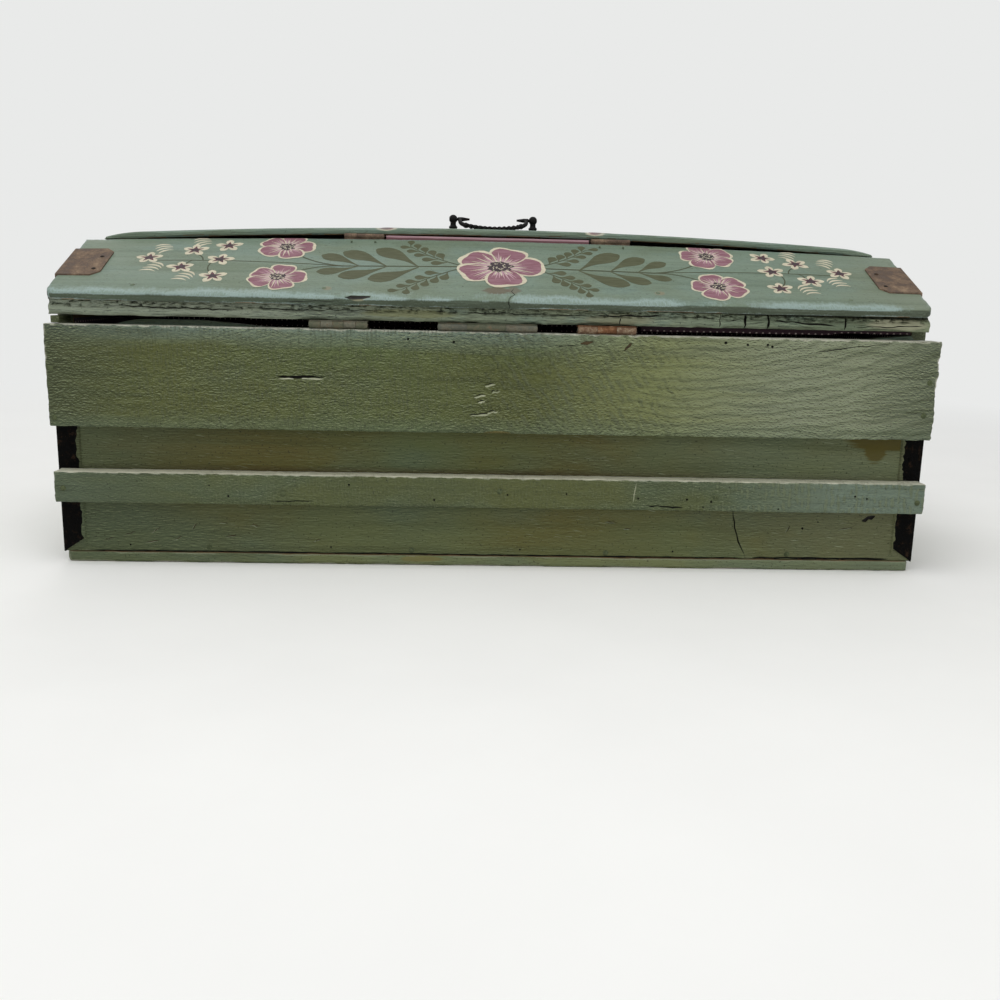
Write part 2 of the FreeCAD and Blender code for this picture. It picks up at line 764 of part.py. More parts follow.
def build_lid():
    trim = over_panels()
    upper_places = []
    lower_places = []
    pins = []
    axis = Vec(0, hinge_axis_y, hinge_axis_z)
    for name, (x0, x1, joints, flare) in lid_hinges.items():
        lower_leaf = lid_hinge_leaf(x0, x1, joints, flare, False)
        upper_leaf = lid_hinge_leaf(x0, x1, joints, flare, True)
        own_lower = lid_hinge_screw_places(x0, x1, False)
        own_upper = lid_hinge_screw_places(x0, x1, True)
        lower_leaf = drilled(lower_leaf, own_lower, screw_radius, lower_screw_depth)
        upper_leaf = drilled(upper_leaf, own_upper, screw_radius, upper_screw_depth)
        save(lower_leaf, "lid_hinge_%s_lower_leaf" % name)
        save(upper_leaf, "lid_hinge_%s_upper_leaf" % name)
        lower_places += own_lower
        upper_places += own_upper
        pins.append(hinge_pin(x0, x1, axis, hinge_pin_radius))
    save(Part.makeCompound(pins), "lid_hinge_pins")
    lower_screws = [screw(place, lower_screw_depth) for place in lower_places]
    upper_screws = [screw(place, upper_screw_depth) for place in upper_places]
    save(Part.makeCompound(lower_screws), "lid_hinge_lower_screws")
    save(Part.makeCompound(upper_screws), "lid_hinge_upper_screws")

    strap = strap_rear_left()
    strap_places = strap_screw_places()
    strap_depth = 8.0
    strap_screws = [screw(place, strap_depth) for place in strap_places]
    strap_stems = stems(strap_places, screw_radius, strap_depth)
    strap = pierced(strap, strap_stems)
    panel_nails = panel_nail_places()
    nail_depth = 18.0
    nail_stems = stems(panel_nails, nail_radius, nail_depth)
    panel = panel_space(-panel_edge, 0)
    save(panel, "lid_rear_panel")
    skirt = pierced(rear_skirt(trim), nail_stems)
    gable = pierced(left_gable(trim), strap_stems + [to_front(stem) for stem in strap_stems])
    save(to_front(panel), "lid_front_panel")
    save(to_front(skirt), "lid_front_skirt")
    save(drilled(skirt, upper_places, screw_radius, upper_screw_depth), "lid_rear_skirt")
    save(gable, "lid_left_gable")
    save(to_right(gable, lid_x), "lid_right_gable")
    corners = {"rear_left": lambda s: s, "rear_right": lambda s: to_right(s, lid_x), "front_left": to_front,
               "front_right": lambda s: to_front(to_right(s, lid_x))}
    all_screws = []
    for name, place in corners.items():
        save(place(strap), "lid_strap_" + name)
        all_screws += [place(solid) for solid in strap_screws]
    save(Part.makeCompound(all_screws), "lid_strap_screws")
    rear_nails = [nail(place, nail_depth, panel_nail_head_radius) for place in panel_nails]
    save(Part.makeCompound(rear_nails + [to_front(solid) for solid in rear_nails]), "lid_panel_nails")

    flap_pins = []
    lid_screws = []
    flap_axis = Vec(0, flap_axis_y, flap_axis_z)
    tip_length = panel_edge + 3.2
    for name, centre in flap_hinge_centres.items():
        leaf = flap_hinge_lid_leaf(centre)
        places = flap_hinge_screw_places(centre, False)
        save(drilled(leaf, places, screw_radius, tip_length), "flap_hinge_%s_lid_leaf" % name)
        lid_screws += [screw(place, tip_length) for place in places]
        x0, x1, joints = flap_hinge_span(centre)
        flap_pins.append(hinge_pin(x0, x1, flap_axis, flap_hinge_pin_radius))
    save(lath(), "flap_lath")
    save(Part.makeCompound(flap_pins), "flap_hinge_pins")
    save(Part.makeCompound(lid_screws), "flap_hinge_lid_screws")


def build_flap():
    plank = flap_plank()
    screws = []
    screw_depth = 6.0
    for name, centre in flap_hinge_centres.items():
        leaf = flap_hinge_flap_leaf(centre)
        places = flap_hinge_screw_places(centre, True)
        x0, x1, joints = flap_hinge_span(centre)
        barrel_room = Part.makeCylinder(flap_hinge_radius + turning_room, x1 - x0 + 2 * knuckle_gap,
                                        Vec(x0 - knuckle_gap, flap_axis_y, flap_axis_z), Vec(1, 0, 0))
        plank = drilled(plank.cut([leaf, barrel_room]), places, screw_radius, screw_depth)
        save(drilled(leaf, places, screw_radius, screw_depth), "flap_hinge_%s_flap_leaf" % name)
        screws += [screw(place, screw_depth) for place in places]
    save(Part.makeCompound(screws), "flap_hinge_flap_screws")
    for side, name in ((-1, "left"), (1, "right")):
        post = handle_post(side)
        plank = plank.cut(post)
        save(post, "handle_post_" + name)
    save(plank, "flap_plank")
    save(Part.makeCompound([handle_nut(side) for side in (-1, 1)]), "handle_nuts")
    save(handle_bail(), "handle_bail")


os.makedirs("parts", exist_ok=True)
build_box()
build_lid()
build_flap()
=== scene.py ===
import math
import random
from functools import partial

import bpy
from mathutils import Matrix, Vector, noise


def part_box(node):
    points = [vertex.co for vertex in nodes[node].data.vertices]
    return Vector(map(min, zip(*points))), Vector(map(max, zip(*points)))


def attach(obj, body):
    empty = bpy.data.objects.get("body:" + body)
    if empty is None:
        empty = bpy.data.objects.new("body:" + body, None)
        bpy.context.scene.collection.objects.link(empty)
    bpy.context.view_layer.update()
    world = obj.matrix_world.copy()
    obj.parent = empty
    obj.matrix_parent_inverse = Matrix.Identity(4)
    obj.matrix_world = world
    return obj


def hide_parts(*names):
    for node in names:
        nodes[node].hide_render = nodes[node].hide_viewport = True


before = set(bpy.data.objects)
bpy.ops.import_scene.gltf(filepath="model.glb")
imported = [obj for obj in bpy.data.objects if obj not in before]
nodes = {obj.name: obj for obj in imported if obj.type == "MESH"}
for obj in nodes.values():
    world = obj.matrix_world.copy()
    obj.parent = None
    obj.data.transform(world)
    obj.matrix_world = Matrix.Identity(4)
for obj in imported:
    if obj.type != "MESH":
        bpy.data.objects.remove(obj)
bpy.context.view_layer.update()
mm = 0.001
dice = random.Random(11)
smoothAngle = math.radians(32)  # edges that turn more than this stay sharp
wavePeriod = 0.314  # the length after which a wave texture of scale 1 repeats
bpy.context.tool_settings.mesh_select_mode = (False, True, False)  # edges are picked
print("frame loaded:", len(nodes), "CAD nodes")


# Small helpers

def hexColour(code):
    channels = [int(code[i:i + 2], 16) / 255 for i in (1, 3, 5)]
    linear = [c / 12.92 if c <= 0.04045 else ((c + 0.055) / 1.055) ** 2.4 for c in channels]
    return (*linear, 1.0)


def setInputs(node, inputs):
    # by name or in the order of the sockets: another socket is linked, a hex code becomes a colour
    for key, value in inputs.items() if isinstance(inputs, dict) else enumerate(inputs):
        if isinstance(value, bpy.types.NodeSocket):
            node.id_data.links.new(value, node.inputs[key])
        else:
            node.inputs[key].default_value = hexColour(value) if isinstance(value, str) else value


def addNode(tree, kind, inputs=(), out=0, **settings):
    made = tree.nodes.new("ShaderNode" + kind)
    for name, value in settings.items():
        setattr(made, name, value)
    setInputs(made, inputs)
    return made.outputs[out]


def newMaterial(name, constants):
    material = bpy.data.materials.new(name)
    material.use_nodes = True
    add = partial(addNode, material.node_tree)
    shader = material.node_tree.nodes["Principled BSDF"]
    setInputs(shader, constants)
    return material, add, shader, add("TexCoord", out="Object")


def grainRates(axis, along, across):
    # texture scales for grains of one size in mm along an axis and another across it
    long, thin = 1 / (along * mm), 1 / (across * mm)
    return {"x": (long, thin, thin), "y": (thin, long, thin)}[axis]


def clamp(value, least=0.0, most=1.0):
    return min(most, max(least, value))


def mixedNoise(spot, finer, share):
    return noise.noise(spot) + share * noise.noise(spot * finer)


def pickPieces(*pieces):
    # only these are picked, and the first of them is active
    bpy.ops.object.select_all(action="DESELECT")
    for piece in pieces:
        piece.select_set(True)
    if pieces:
        bpy.context.view_layer.objects.active = pieces[0]


def editMesh(*steps):
    # each step is an operator of edit mode with its settings
    bpy.ops.object.mode_set(mode="EDIT")
    for operator, settings in steps:
        operator(**settings)
    bpy.ops.object.mode_set(mode="OBJECT")


selectAll = (bpy.ops.mesh.select_all, {"action": "SELECT"})
faceOutwards = (bpy.ops.mesh.normals_make_consistent, {"inside": False})


def applyModifier(piece, modifier):
    pickPieces(piece)
    bpy.ops.object.modifier_apply(modifier=modifier.name)


def thicken(piece, thickness, offset):
    # a sheet or a film gets its thickness in mm
    shell = piece.modifiers.new("shell", "SOLIDIFY")
    shell.thickness = thickness * mm
    shell.offset = offset
    applyModifier(piece, shell)


def newMesh(name, corners, faces):
    mesh = bpy.data.meshes.new(name)
    mesh.from_pydata(corners, [], faces)
    piece = bpy.data.objects.new(name, mesh)
    bpy.context.scene.collection.objects.link(piece)
    return piece


def pickEdges(piece, axis, least):
    # edges that run along one axis are picked for the next operator
    mesh = piece.data
    for part in (mesh.vertices, mesh.edges, mesh.polygons):
        part.foreach_set("select", [False] * len(part))
    for edge in mesh.edges:
        run = mesh.vertices[edge.vertices[1]].co - mesh.vertices[edge.vertices[0]].co
        edge.select = run.length > least and abs(run.normalized()[axis]) > 0.999


def addBoard(name, low, high, cell, arris):
    # a cube at the board's size, its arrises broken, then cut into a fine grid for the wear
    pickPieces()
    size = high - low
    bpy.ops.mesh.primitive_cube_add(size=1, location=(low + high) / 2)
    board = bpy.context.object
    board.name = name
    board.scale = size
    bpy.ops.object.transform_apply(location=True, rotation=True, scale=True)
    editMesh(selectAll, (bpy.ops.mesh.bevel, {"offset": arris, "segments": 2, "affect": "EDGES"}))
    for axis in range(3):
        count = max(1, round(size[axis] / (cell[axis] * mm)))
        first = count if count < 50 else round(math.sqrt(count))  # long runs are cut in two rounds
        for cuts in (first, round(count / first)):
            if cuts > 1:
                pickEdges(board, axis, arris * 1.2)
                editMesh((bpy.ops.mesh.subdivide, {"number_cuts": cuts - 1}))
    return board


def weather(board, low, high, look):
    # vertices only move inwards: worn arrises, uneven faces, crumbled parts and ragged ends
    offset = Vector((look["seed"] * 3.1, look["seed"] * 1.7, 0))
    reach = look["wearWidth"] * mm
    faceDepth, endReach, bandDepth = 6 * mm, 12 * mm, 1.6 * mm
    outer = low.y if abs(low.y) > abs(high.y) else high.y
    wornValues, shadedHollowValues = [], []
    for vertex in board.data.vertices:
        co = vertex.co.copy()
        gaps = [min(co[k] - low[k], high[k] - co[k]) for k in range(3)]
        order = sorted(range(3), key=lambda k: gaps[k])
        inward = [1 if co[k] - low[k] < high[k] - co[k] else -1 for k in range(3)]
        chips = mixedNoise(Vector((co.x * look.get("chipRate", 28), co.y * 70, co.z * 70)) + offset, 3.1, 0.5)
        near = max(0.0, 1 - gaps[order[1]] / reach)
        extra = 1.0
        for start, end, factor in look.get("roughSpans", ()):
            if start * mm < co.x < end * mm:
                extra = factor
        depth = look["wearDepth"] * mm * extra * near * near * max(0.0, 0.25 + chips)
        for k in order[:2]:
            if gaps[k] < reach:
                vertex.co[k] += inward[k] * depth
        wave = noise.noise(Vector((co.x * 9, co.y * 40, co.z * 40)) + offset * 2)
        vertex.co[order[0]] += inward[order[0]] * look["uneven"] * mm * (0.5 + 0.5 * wave)
        atFace = max(0.0, 1 - abs(co.y - outer) / faceDepth)
        shadedHollow = 0.0
        if "relief" in look:
            # the saw and the weather left the outer face rough
            reliefDepth, reliefLong, reliefHigh = look["relief"]
            spot = Vector((co.x / (reliefLong * mm), 0, co.z / (reliefHigh * mm))) + offset
            rough = mixedNoise(spot, 2.3, 0.6)
            vertex.co.y += inward[1] * reliefDepth * mm * atFace * clamp(0.5 + 0.6 * rough)
        if "crumble" in look:
            # the lower arris is planed off, and the upper part has crumbled away in flakes
            start, crumbleDepth, flake, planed = look["crumble"]
            climb = (co.z - low.z) / mm
            grown = clamp((climb - start) / 1.5)
            flakes = mixedNoise(Vector((co.x / (flake * mm), 0, co.z / (flake * 0.4 * mm))) + offset, 2.3, 0.8)
            # how deep a flake's pit goes, which also sets the painted shade in it
            shadedHollow = grown * clamp(0.05 + 1.2 * flakes)
            inset = shadedHollow * crumbleDepth + grown * 0.8 + max(0.0, planed - climb) * 0.55
            vertex.co.y += inward[1] * inset * mm * atFace
            # towards the right the top has drawn back, and the gap there is painted dark as shade
            start, end, climbTop, shrunkDepth = look["shrunk"]
            opened = clamp((co.x / mm - start) / (end - start))
            sunk = clamp(climb - climbTop + 3.6 * opened) * min(1.0, 4 * opened)
            vertex.co.y += inward[1] * shrunkDepth * mm * atFace * sunk
            shadedHollow = max(shadedHollow, sunk)
        for side, ragDepth, ragSize in look.get("raggedEnds", ()):
            gap = (high.x - co.x) if side > 0 else (co.x - low.x)
            if gap < endReach:
                rag = noise.noise(Vector((0, co.y, co.z)) / (ragSize * mm) + offset)
                rag += 0.6 * noise.noise(Vector((3, co.y, co.z)) / (ragSize * 0.4 * mm))
                vertex.co.x -= side * ragDepth * mm * max(0.0, 0.5 + rag) * (1 - gap / endReach)
        below = look.get("wornBelow", 1.0) if inward[2] > 0 else 1.0
        worn = near * (0.62 + 0.8 * chips) * (0.7 + 0.3 * extra) * below
        if "band" in look and high.z - co.z < bandDepth:
            # the paint is rubbed along the rear edge of the upper face
            worn = max(worn, (1 - (co.y - low.y) / (look["band"] * mm)) * (0.62 + 0.5 * chips + 0.7 * wave))
        wornValues.append(clamp(worn))
        shadedHollowValues.append(shadedHollow)
    for name, values in (("worn", wornValues), ("shadedHollow", shadedHollowValues)):
        board.data.attributes.new(name, "FLOAT", "POINT").data.foreach_set("value", values)


def paintedBoard(name, low, high, look, paint):
    board = addBoard(name, low, high, look["cell"], look["arris"] * mm)
    board.data.materials.append(paint)
    weather(board, low, high, look)
    return board


def roundCutter(centre, radius, depth, turn=(math.pi / 2, 0, 0)):
    pickPieces()
    bpy.ops.mesh.primitive_cylinder_add(vertices=9, radius=radius * mm, depth=2 * depth * mm,
                                        location=Vector(centre) * mm, rotation=turn)
    bpy.ops.object.transform_apply(location=True, rotation=True, scale=True)
    return bpy.context.object


def crackCutter(points, width, depth, normal=Vector((0, 1, 0))):
    # a thin crooked wedge along the points, which lie on the face that it opens
    track = [Vector(p) * mm for p in points]
    last = len(track) - 1
    left, right = [], []
    for i, point in enumerate(track):
        run = (track[min(i + 1, last)] - track[max(i - 1, 0)]).normalized()
        half = width * mm / 2 * (0.25 if i in (0, last) else dice.uniform(0.6, 1.3))
        left.append(point + normal.cross(run) * half)
        right.append(point - normal.cross(run) * half)
    ring = left + right[::-1]
    count = len(ring)
    corners = [p + normal * depth * mm for p in ring] + [p - normal * depth * mm for p in ring]
    faces = [list(range(count)), list(range(2 * count - 1, count - 1, -1))]
    faces += [[i, i + count, (i + 1) % count + count, (i + 1) % count] for i in range(count)]
    wedge = newMesh("crack", corners, faces)
    pickPieces(wedge)
    editMesh(selectAll, faceOutwards)
    return wedge


def crookedLine(y, start, end, steps, sway):
    # points in the face at y, from one (x, z) to another, that wander as a split in wood does
    a, b = (Vector((x, y, z)) for x, z in (start, end))
    across = Vector((0, 1, 0)).cross((b - a).normalized())
    line = []
    for i in range(steps + 1):
        side = 0 if i in (0, steps) else dice.uniform(-sway, sway)
        line.append(a.lerp(b, i / steps) + across * side)
    return line


def faceSplit(y, start, end, steps, sway, width, depth):
    return crackCutter(crookedLine(y, start, end, steps, sway), width, depth)


def cutAway(board, cutters, inner):
    # the joined cutters come out in one go, and what they open shows the inner material
    for cutter in cutters:
        cutter.data.materials.append(inner)
    pickPieces(*cutters)
    if len(cutters) > 1:
        bpy.ops.object.join()
    tool = bpy.context.object
    cuts = board.modifiers.new("cuts", "BOOLEAN")
    cuts.operation = "DIFFERENCE"
    cuts.solver = "MANIFOLD"
    cuts.material_mode = "TRANSFER"
    cuts.object = tool
    applyModifier(board, cuts)
    bpy.data.objects.remove(tool)


def finishPiece(piece, body, stands=()):
    pickPieces(piece)
    bpy.ops.object.shade_smooth_by_angle(angle=smoothAngle)
    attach(piece, body)
    if stands:
        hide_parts(*stands)


def roundPlan(piece, centre, half, outer, turn):
    # the two corners on the outer side are rounded in plan
    for vertex in piece.data.vertices:
        x, y = vertex.co.x - centre, vertex.co.y
        dx, dy = abs(x) - (half - turn), abs(y) - (abs(outer) - turn)
        far = math.hypot(dx, dy)
        if dx > 0 and dy > 0 and far > 0:
            pull = max(dx, dy) / far
            vertex.co.x = centre + math.copysign(half - turn + dx * pull, x)
            vertex.co.y = math.copysign(abs(outer) - turn + dy * pull, y)


def innerFaces(piece, material, test):
    # faces that the paint never reached get a second material
    piece.data.materials.append(material)
    index = len(piece.data.materials) - 1
    for face in piece.data.polygons:
        if test(face):
            face.material_index = index


# Materials: numbers given in order to a MapRange node are value, from low, from high, to low, to high

def agedPaint(look):
    # oil paint brushed on softwood: satin, thin on the arrises, with the grain and saw marks telling through it
    material, add, shader, place = newMaterial(look["finish"], {"IOR": 1.5, "Specular IOR Level": 0.28})
    grain, tear, patchSize = look["grain"], look["tear"], look["patch"] * mm
    fibreRates = grainRates(grain, look["fibreLength"], look["fibreWidth"])
    fibreSpace = add("Mapping", {"Vector": place, "Scale": fibreRates})
    fibres = add("TexNoise", {"Vector": fibreSpace, "Scale": 1.0, "Detail": 4.0, "Roughness": 0.6})
    wide = add("Mapping", {"Vector": fibreSpace, "Location": (3, 7, 5), "Scale": (0.2, 0.2, 0.2)})
    streaks = add("TexNoise", {"Vector": wide, "Scale": 1.0, "Detail": 4.0})
    stretched = add("Mapping", {"Vector": place, "Scale": (0.5, 1, 1)})
    patches = add("TexNoise", {"Vector": stretched, "Scale": 1 / patchSize, "Detail": 4.0})
    shifted = add("Mapping", {"Vector": stretched, "Location": (1.7, 0.4, 2.9)})
    tints = add("TexNoise", {"Vector": shifted, "Scale": 1.6 / patchSize, "Detail": 3.0})
    grit = add("TexNoise", {"Vector": place, "Scale": 1 / (2.5 * mm), "Detail": 2.0})
    axes = add("SeparateXYZ", {"Vector": place}).node.outputs
    # torn fibres under the paint: their upper lips get a painted highlight and a painted shade lies beneath them, as if
    # lit from above
    tearSpace = add("Mapping", {"Vector": place, "Scale": grainRates(grain, tear["length"], tear["height"])})
    above = add("Mapping", {"Vector": tearSpace, "Location": (0, 0, 0.55)})
    tears, tearsAbove = (add("TexNoise", {"Vector": space, "Scale": 1.0, "Detail": 5.0, "Roughness": 0.7})
                         for space in (tearSpace, above))
    lips = add("Math", (tears, tearsAbove), operation="SUBTRACT")
    coarse = add("MapRange", (tints, 0.3, 0.7, 0.45, 1.4))
    lips = add("Math", (lips, coarse), operation="MULTIPLY")
    # a layer is what drives it, where it begins, where it is full, how much it covers then, and its tint
    layers = [(patches, 0.42, 0.62, 1, look["second"]), (tints, 0.5, 0.7, 0.7, look["third"])]
    # bands along one axis: the paint's own tones, and on some pieces painted light, the left end darker and the right
    # part lighter as the light fell
    for axis, start, end, amount, tint in look["toneAndLightBands"]:
        swayed = add("Math", (streaks, (end - start) * mm * 0.9, axes[axis]), operation="MULTIPLY_ADD")
        shift = (end - start) * 0.45
        layers.append((swayed, (start + shift) * mm, (end + shift) * mm, amount, tint))
    layers += [
        (streaks, 0.52, 0.75, 0.5, look["dark"]),
        (fibres, 0.55, 0.8, look["streak"], look["light"]),
        (fibres, 0.42, 0.28, 0.4, look["dark"]),
        # painted highlight on the upper lips, painted shade below them, and painted glints on the highest lips
        (lips, 0.02, tear["edge"], tear["amount"], look["light"]),
        (lips, -0.02, -tear["edge"], tear["amount"], look["dirtAndShade"]),
        (lips, 0.2, 0.32, tear["glint"], look["glint"])]
    relief = add("Math", (streaks, 0.5, fibres), operation="MULTIPLY_ADD")
    bump = add("Bump", {"Height": relief, "Distance": look["fibreDepth"] * mm, "Strength": 0.9})
    bump = add("Bump", {"Height": tears, "Distance": tear["depth"] * mm, "Normal": bump})
    for saw in look.get("saws", ()):
        # the saw left ridges across the board, strongest where the plane never went
        ridgeSpace = add("Mapping", {"Vector": place, "Rotation": (0, math.radians(saw["lean"]), 0)})
        height = add("TexWave", {"Vector": ridgeSpace, "Scale": wavePeriod / (saw["spacing"] * mm), "Distortion": 3.0,
                                 "Detail": 3.0, "Detail Scale": 2.0}, out="Fac", bands_direction="X")
        off = add("Math", (axes[0], saw["middle"] * mm), operation="SUBTRACT")
        off = add("Math", (off,), operation="ABSOLUTE")
        where = add("MapRange", (off, saw["reach"] * mm, saw["reach"] * 0.4 * mm))
        gaps = add("TexNoise", {"Vector": place, "Scale": 0.6 / (saw["spacing"] * mm), "Detail": 2.0})
        gaps = add("MapRange", (gaps, 0.4, 0.58, 0, 1.5))
        for factor in (gaps, tears, where):
            height = add("Math", (height, factor), operation="MULTIPLY")
        bump = add("Bump", {"Height": height, "Distance": saw["depth"] * mm, "Normal": bump})
        # the ridge crests are also tinted light: painted highlight
        layers.append((height, 0.26, 0.52, saw["show"], look["light"]))
    if "rings" in look:
        # growth rings cut at a slant, so they show as long nested arches
        rings = look["rings"]
        centre = (-rings["centre"][0] * mm / rings["stretch"], 0, -rings["centre"][1] * mm)
        ringSpace = add("Mapping", {"Vector": place, "Location": centre, "Scale": (1 / rings["stretch"], 1, 1)})
        sway = add("TexNoise", {"Vector": place, "Scale": 1 / (60 * mm), "Detail": 3.0}, out="Color")
        ringSpace = add("VectorMath", (sway, (0, 0, rings["sway"] * mm), ringSpace), operation="MULTIPLY_ADD")
        arches = add("TexWave", {"Vector": ringSpace, "Scale": wavePeriod / (rings["spacing"] * mm), "Distortion": 5.0,
                                 "Detail": 4.0, "Detail Scale": 0.9},
                     out="Fac", wave_type="RINGS", rings_direction="Y")
        where = add("MapRange", (axes[0], rings["from"] * mm, rings["to"] * mm))
        height = add("Math", (arches, where), operation="MULTIPLY")
        bump = add("Bump", {"Height": height, "Distance": rings["depth"] * mm, "Normal": bump})
        layers.append((height, 0.66, 0.98, rings["show"], look["dark"]))
    layers.append((grit, look["specks"], look["specks"] + 0.06, 0.7, look["dirtAndShade"]))
    for scratch in look.get("scratches", ()):
        # thin pale scratches that run at a slant
        lean = add("Mapping", {"Vector": place, "Rotation": (0, math.radians(scratch["lean"]), 0)})
        thin = [1 / (size * mm) for size in (scratch["length"], 40, scratch["width"])]
        scratchSpace = add("Mapping", {"Vector": lean, "Scale": thin})
        lines = add("TexNoise", {"Vector": scratchSpace, "Scale": 1.0, "Detail": 1.0})
        where = add("MapRange", (patches, 0.46, 0.54))
        lines = add("Math", (lines, where), operation="MULTIPLY")
        layers.append((lines, 0.7, 0.76, scratch["show"], look["glint"]))
    for centre, radii, tint, amount in look.get("spots", ()):
        # stains and bare places, frayed along the fibres
        off = add("Mapping", {"Vector": place, "Location": [-c / r for c, r in zip(centre, radii)],
                              "Scale": [1 / (r * mm) for r in radii]})
        far = add("VectorMath", (off,), out="Value", operation="LENGTH")
        uneven = add("Math", (patches, 1.2, far), operation="MULTIPLY_ADD")
        frayed = add("Math", (fibres, 0.8, uneven), operation="MULTIPLY_ADD")
        layers.append((frayed, 2.06, 1.84, amount, tint))
    # worn arrises, scored across, then painted shade in the crumbled pits and the drawn-back gap, and dust on what
    # faces up
    worn, shadedHollow = (add("Attribute", out="Fac", attribute_name=name) for name in ("worn", "shadedHollow"))
    scoreSpace = add("Mapping", {"Vector": place, "Scale": grainRates("x", 1.8, 9)})
    scores = add("TexNoise", {"Vector": scoreSpace, "Scale": 1.0, "Detail": 3.0, "Roughness": 0.65})
    ground = add("Math", (tears, 0.5, worn), operation="MULTIPLY_ADD")
    rubbed = add("Math", (scores, 0.7, ground), operation="MULTIPLY_ADD")
    scored = add("Math", (scores, worn), operation="MULTIPLY")
    hollowShade = add("Math", (fibres, 0.5, shadedHollow), operation="MULTIPLY_ADD")
    up = add("SeparateXYZ", {"Vector": add("NewGeometry", out="Normal")}, out=2)
    lying = add("Math", (up, fibres), operation="MULTIPLY")
    layers += [
        (rubbed, *look["wornEdge"], look["wornAmount"], look["worn"]),
        (scored, 0.36, 0.52, 0.6, look["main"]),
        # painted shade in the crumbled pits and the drawn-back gap
        (hollowShade, 0.6, 1.1, 0.85, look["dirtAndShade"]),
        (lying, 0.2, 0.52, look["dustAmount"], look["dust"])]
    colour = look["main"]
    for source, begins, full, most, tint in layers:
        amount = add("MapRange", (source, begins, full, 0, most))
        colour = add("MixRGB", (amount, colour, tint))
    gloss = add("MapRange", (streaks, 0.3, 0.7, 0.42, 0.62))
    setInputs(shader, {"Base Color": colour, "Roughness": gloss, "Normal": bump})
    return material


def bareWood(finish, pale, deep, grain="x"):
    # old unpainted softwood: matt, brown with age, with darker lines of late wood
    material, add, shader, place = newMaterial(finish, {"Roughness": 0.82, "IOR": 1.5})
    space = add("Mapping", {"Vector": place, "Scale": grainRates(grain, 160, 2.6)})
    lines = add("TexNoise", {"Vector": space, "Scale": 1.0, "Detail": 5.0, "Distortion": 0.6})
    patches = add("TexNoise", {"Vector": place, "Scale": 1 / (70 * mm), "Detail": 3.0})
    mixed = add("Math", (patches, 0.7, lines), operation="MULTIPLY_ADD")
    colour = add("MixRGB", (add("MapRange", (mixed, 0.6, 1.1)), pale, deep))
    bump = add("Bump", {"Height": lines, "Distance": 0.5 * mm, "Strength": 0.8})
    setInputs(shader, {"Base Color": colour, "Normal": bump})
    return material


def brushPaint(finish, main, second):
    # decorator's paint in one coat: matt, a little streaky from the brush, rubbed thin in places
    material, add, shader, place = newMaterial(finish, {"IOR": 1.5, "Roughness": 0.6, "Specular IOR Level": 0.2})
    space = add("Mapping", {"Vector": place, "Scale": grainRates("x", 14, 3)})
    streaks = add("TexNoise", {"Vector": space, "Scale": 1.0, "Detail": 4.0})
    colour = add("MixRGB", (add("MapRange", (streaks, 0.38, 0.68)), main, second))
    bump = add("Bump", {"Height": streaks, "Distance": 0.15 * mm, "Strength": 0.7})
    setInputs(shader, {"Base Color": colour, "Normal": bump})
    return material


def agedIron(finish, main, second, third, shine, patch, depth):
    # wrought sheet iron: a dark skin with rust or old paint in blotches, pitted and without shine
    material, add, shader, place = newMaterial(finish, {"Specular IOR Level": shine})
    blotches = add("TexNoise", {"Vector": place, "Scale": 1 / (patch * mm), "Detail": 6.0, "Roughness": 0.65})
    pits = add("TexNoise", {"Vector": place, "Scale": 1 / (1.6 * mm), "Detail": 3.0})
    mixed = add("Math", (pits, 0.35, blotches), operation="MULTIPLY_ADD")
    colour = main
    for low, high, tint in ((0.6, 0.74, second), (0.74, 0.86, third)):
        colour = add("MixRGB", (add("MapRange", (mixed, low, high)), colour, tint))
    rough = add("MapRange", (mixed, 0.5, 0.85, 0.5, 0.85))
    bump = add("Bump", {"Height": mixed, "Distance": depth * mm, "Strength": 0.8})
    setInputs(shader, {"Base Color": colour, "Roughness": rough, "Normal": bump})
    return material


def dottedCloth(look):
    # printed cotton: a dark ground with rows of small pale dots, matt and slightly fuzzy
    material, add, shader, _ = newMaterial(look["finish"], {"Roughness": 0.92, "Sheen Weight": 0.25})
    spacing, weft = look["spacing"] * mm, look["weft"] * mm
    flat = add("UVMap")
    grid = add("Mapping", {"Vector": flat, "Scale": (1 / spacing, 1 / spacing, 1)})
    cell = add("VectorMath", (grid,), operation="FRACTION")
    far = add("VectorMath", (cell, (0.5, 0.5, 0)), out="Value", operation="DISTANCE")
    dots = add("MapRange", (far, look["dot"], look["dot"] - look["dotRim"]))
    threads = add("Mapping", {"Vector": flat, "Scale": (1 / weft, 1 / weft, 1)})
    weave = add("TexChecker", {"Vector": threads, "Scale": 1.0}, out="Fac")
    fade = add("TexNoise", {"Vector": flat, "Scale": 1 / (60 * mm), "Detail": 3.0})
    woven = add("MixRGB", (weave, add("MixRGB", (fade, *look["ground"])), look["crossing"]))
    bump = add("Bump", {"Height": weave, "Distance": 0.1 * mm, "Strength": 0.5})
    setInputs(shader, {"Base Color": add("MixRGB", (dots, woven, look["dots"])), "Normal": bump})
    return material


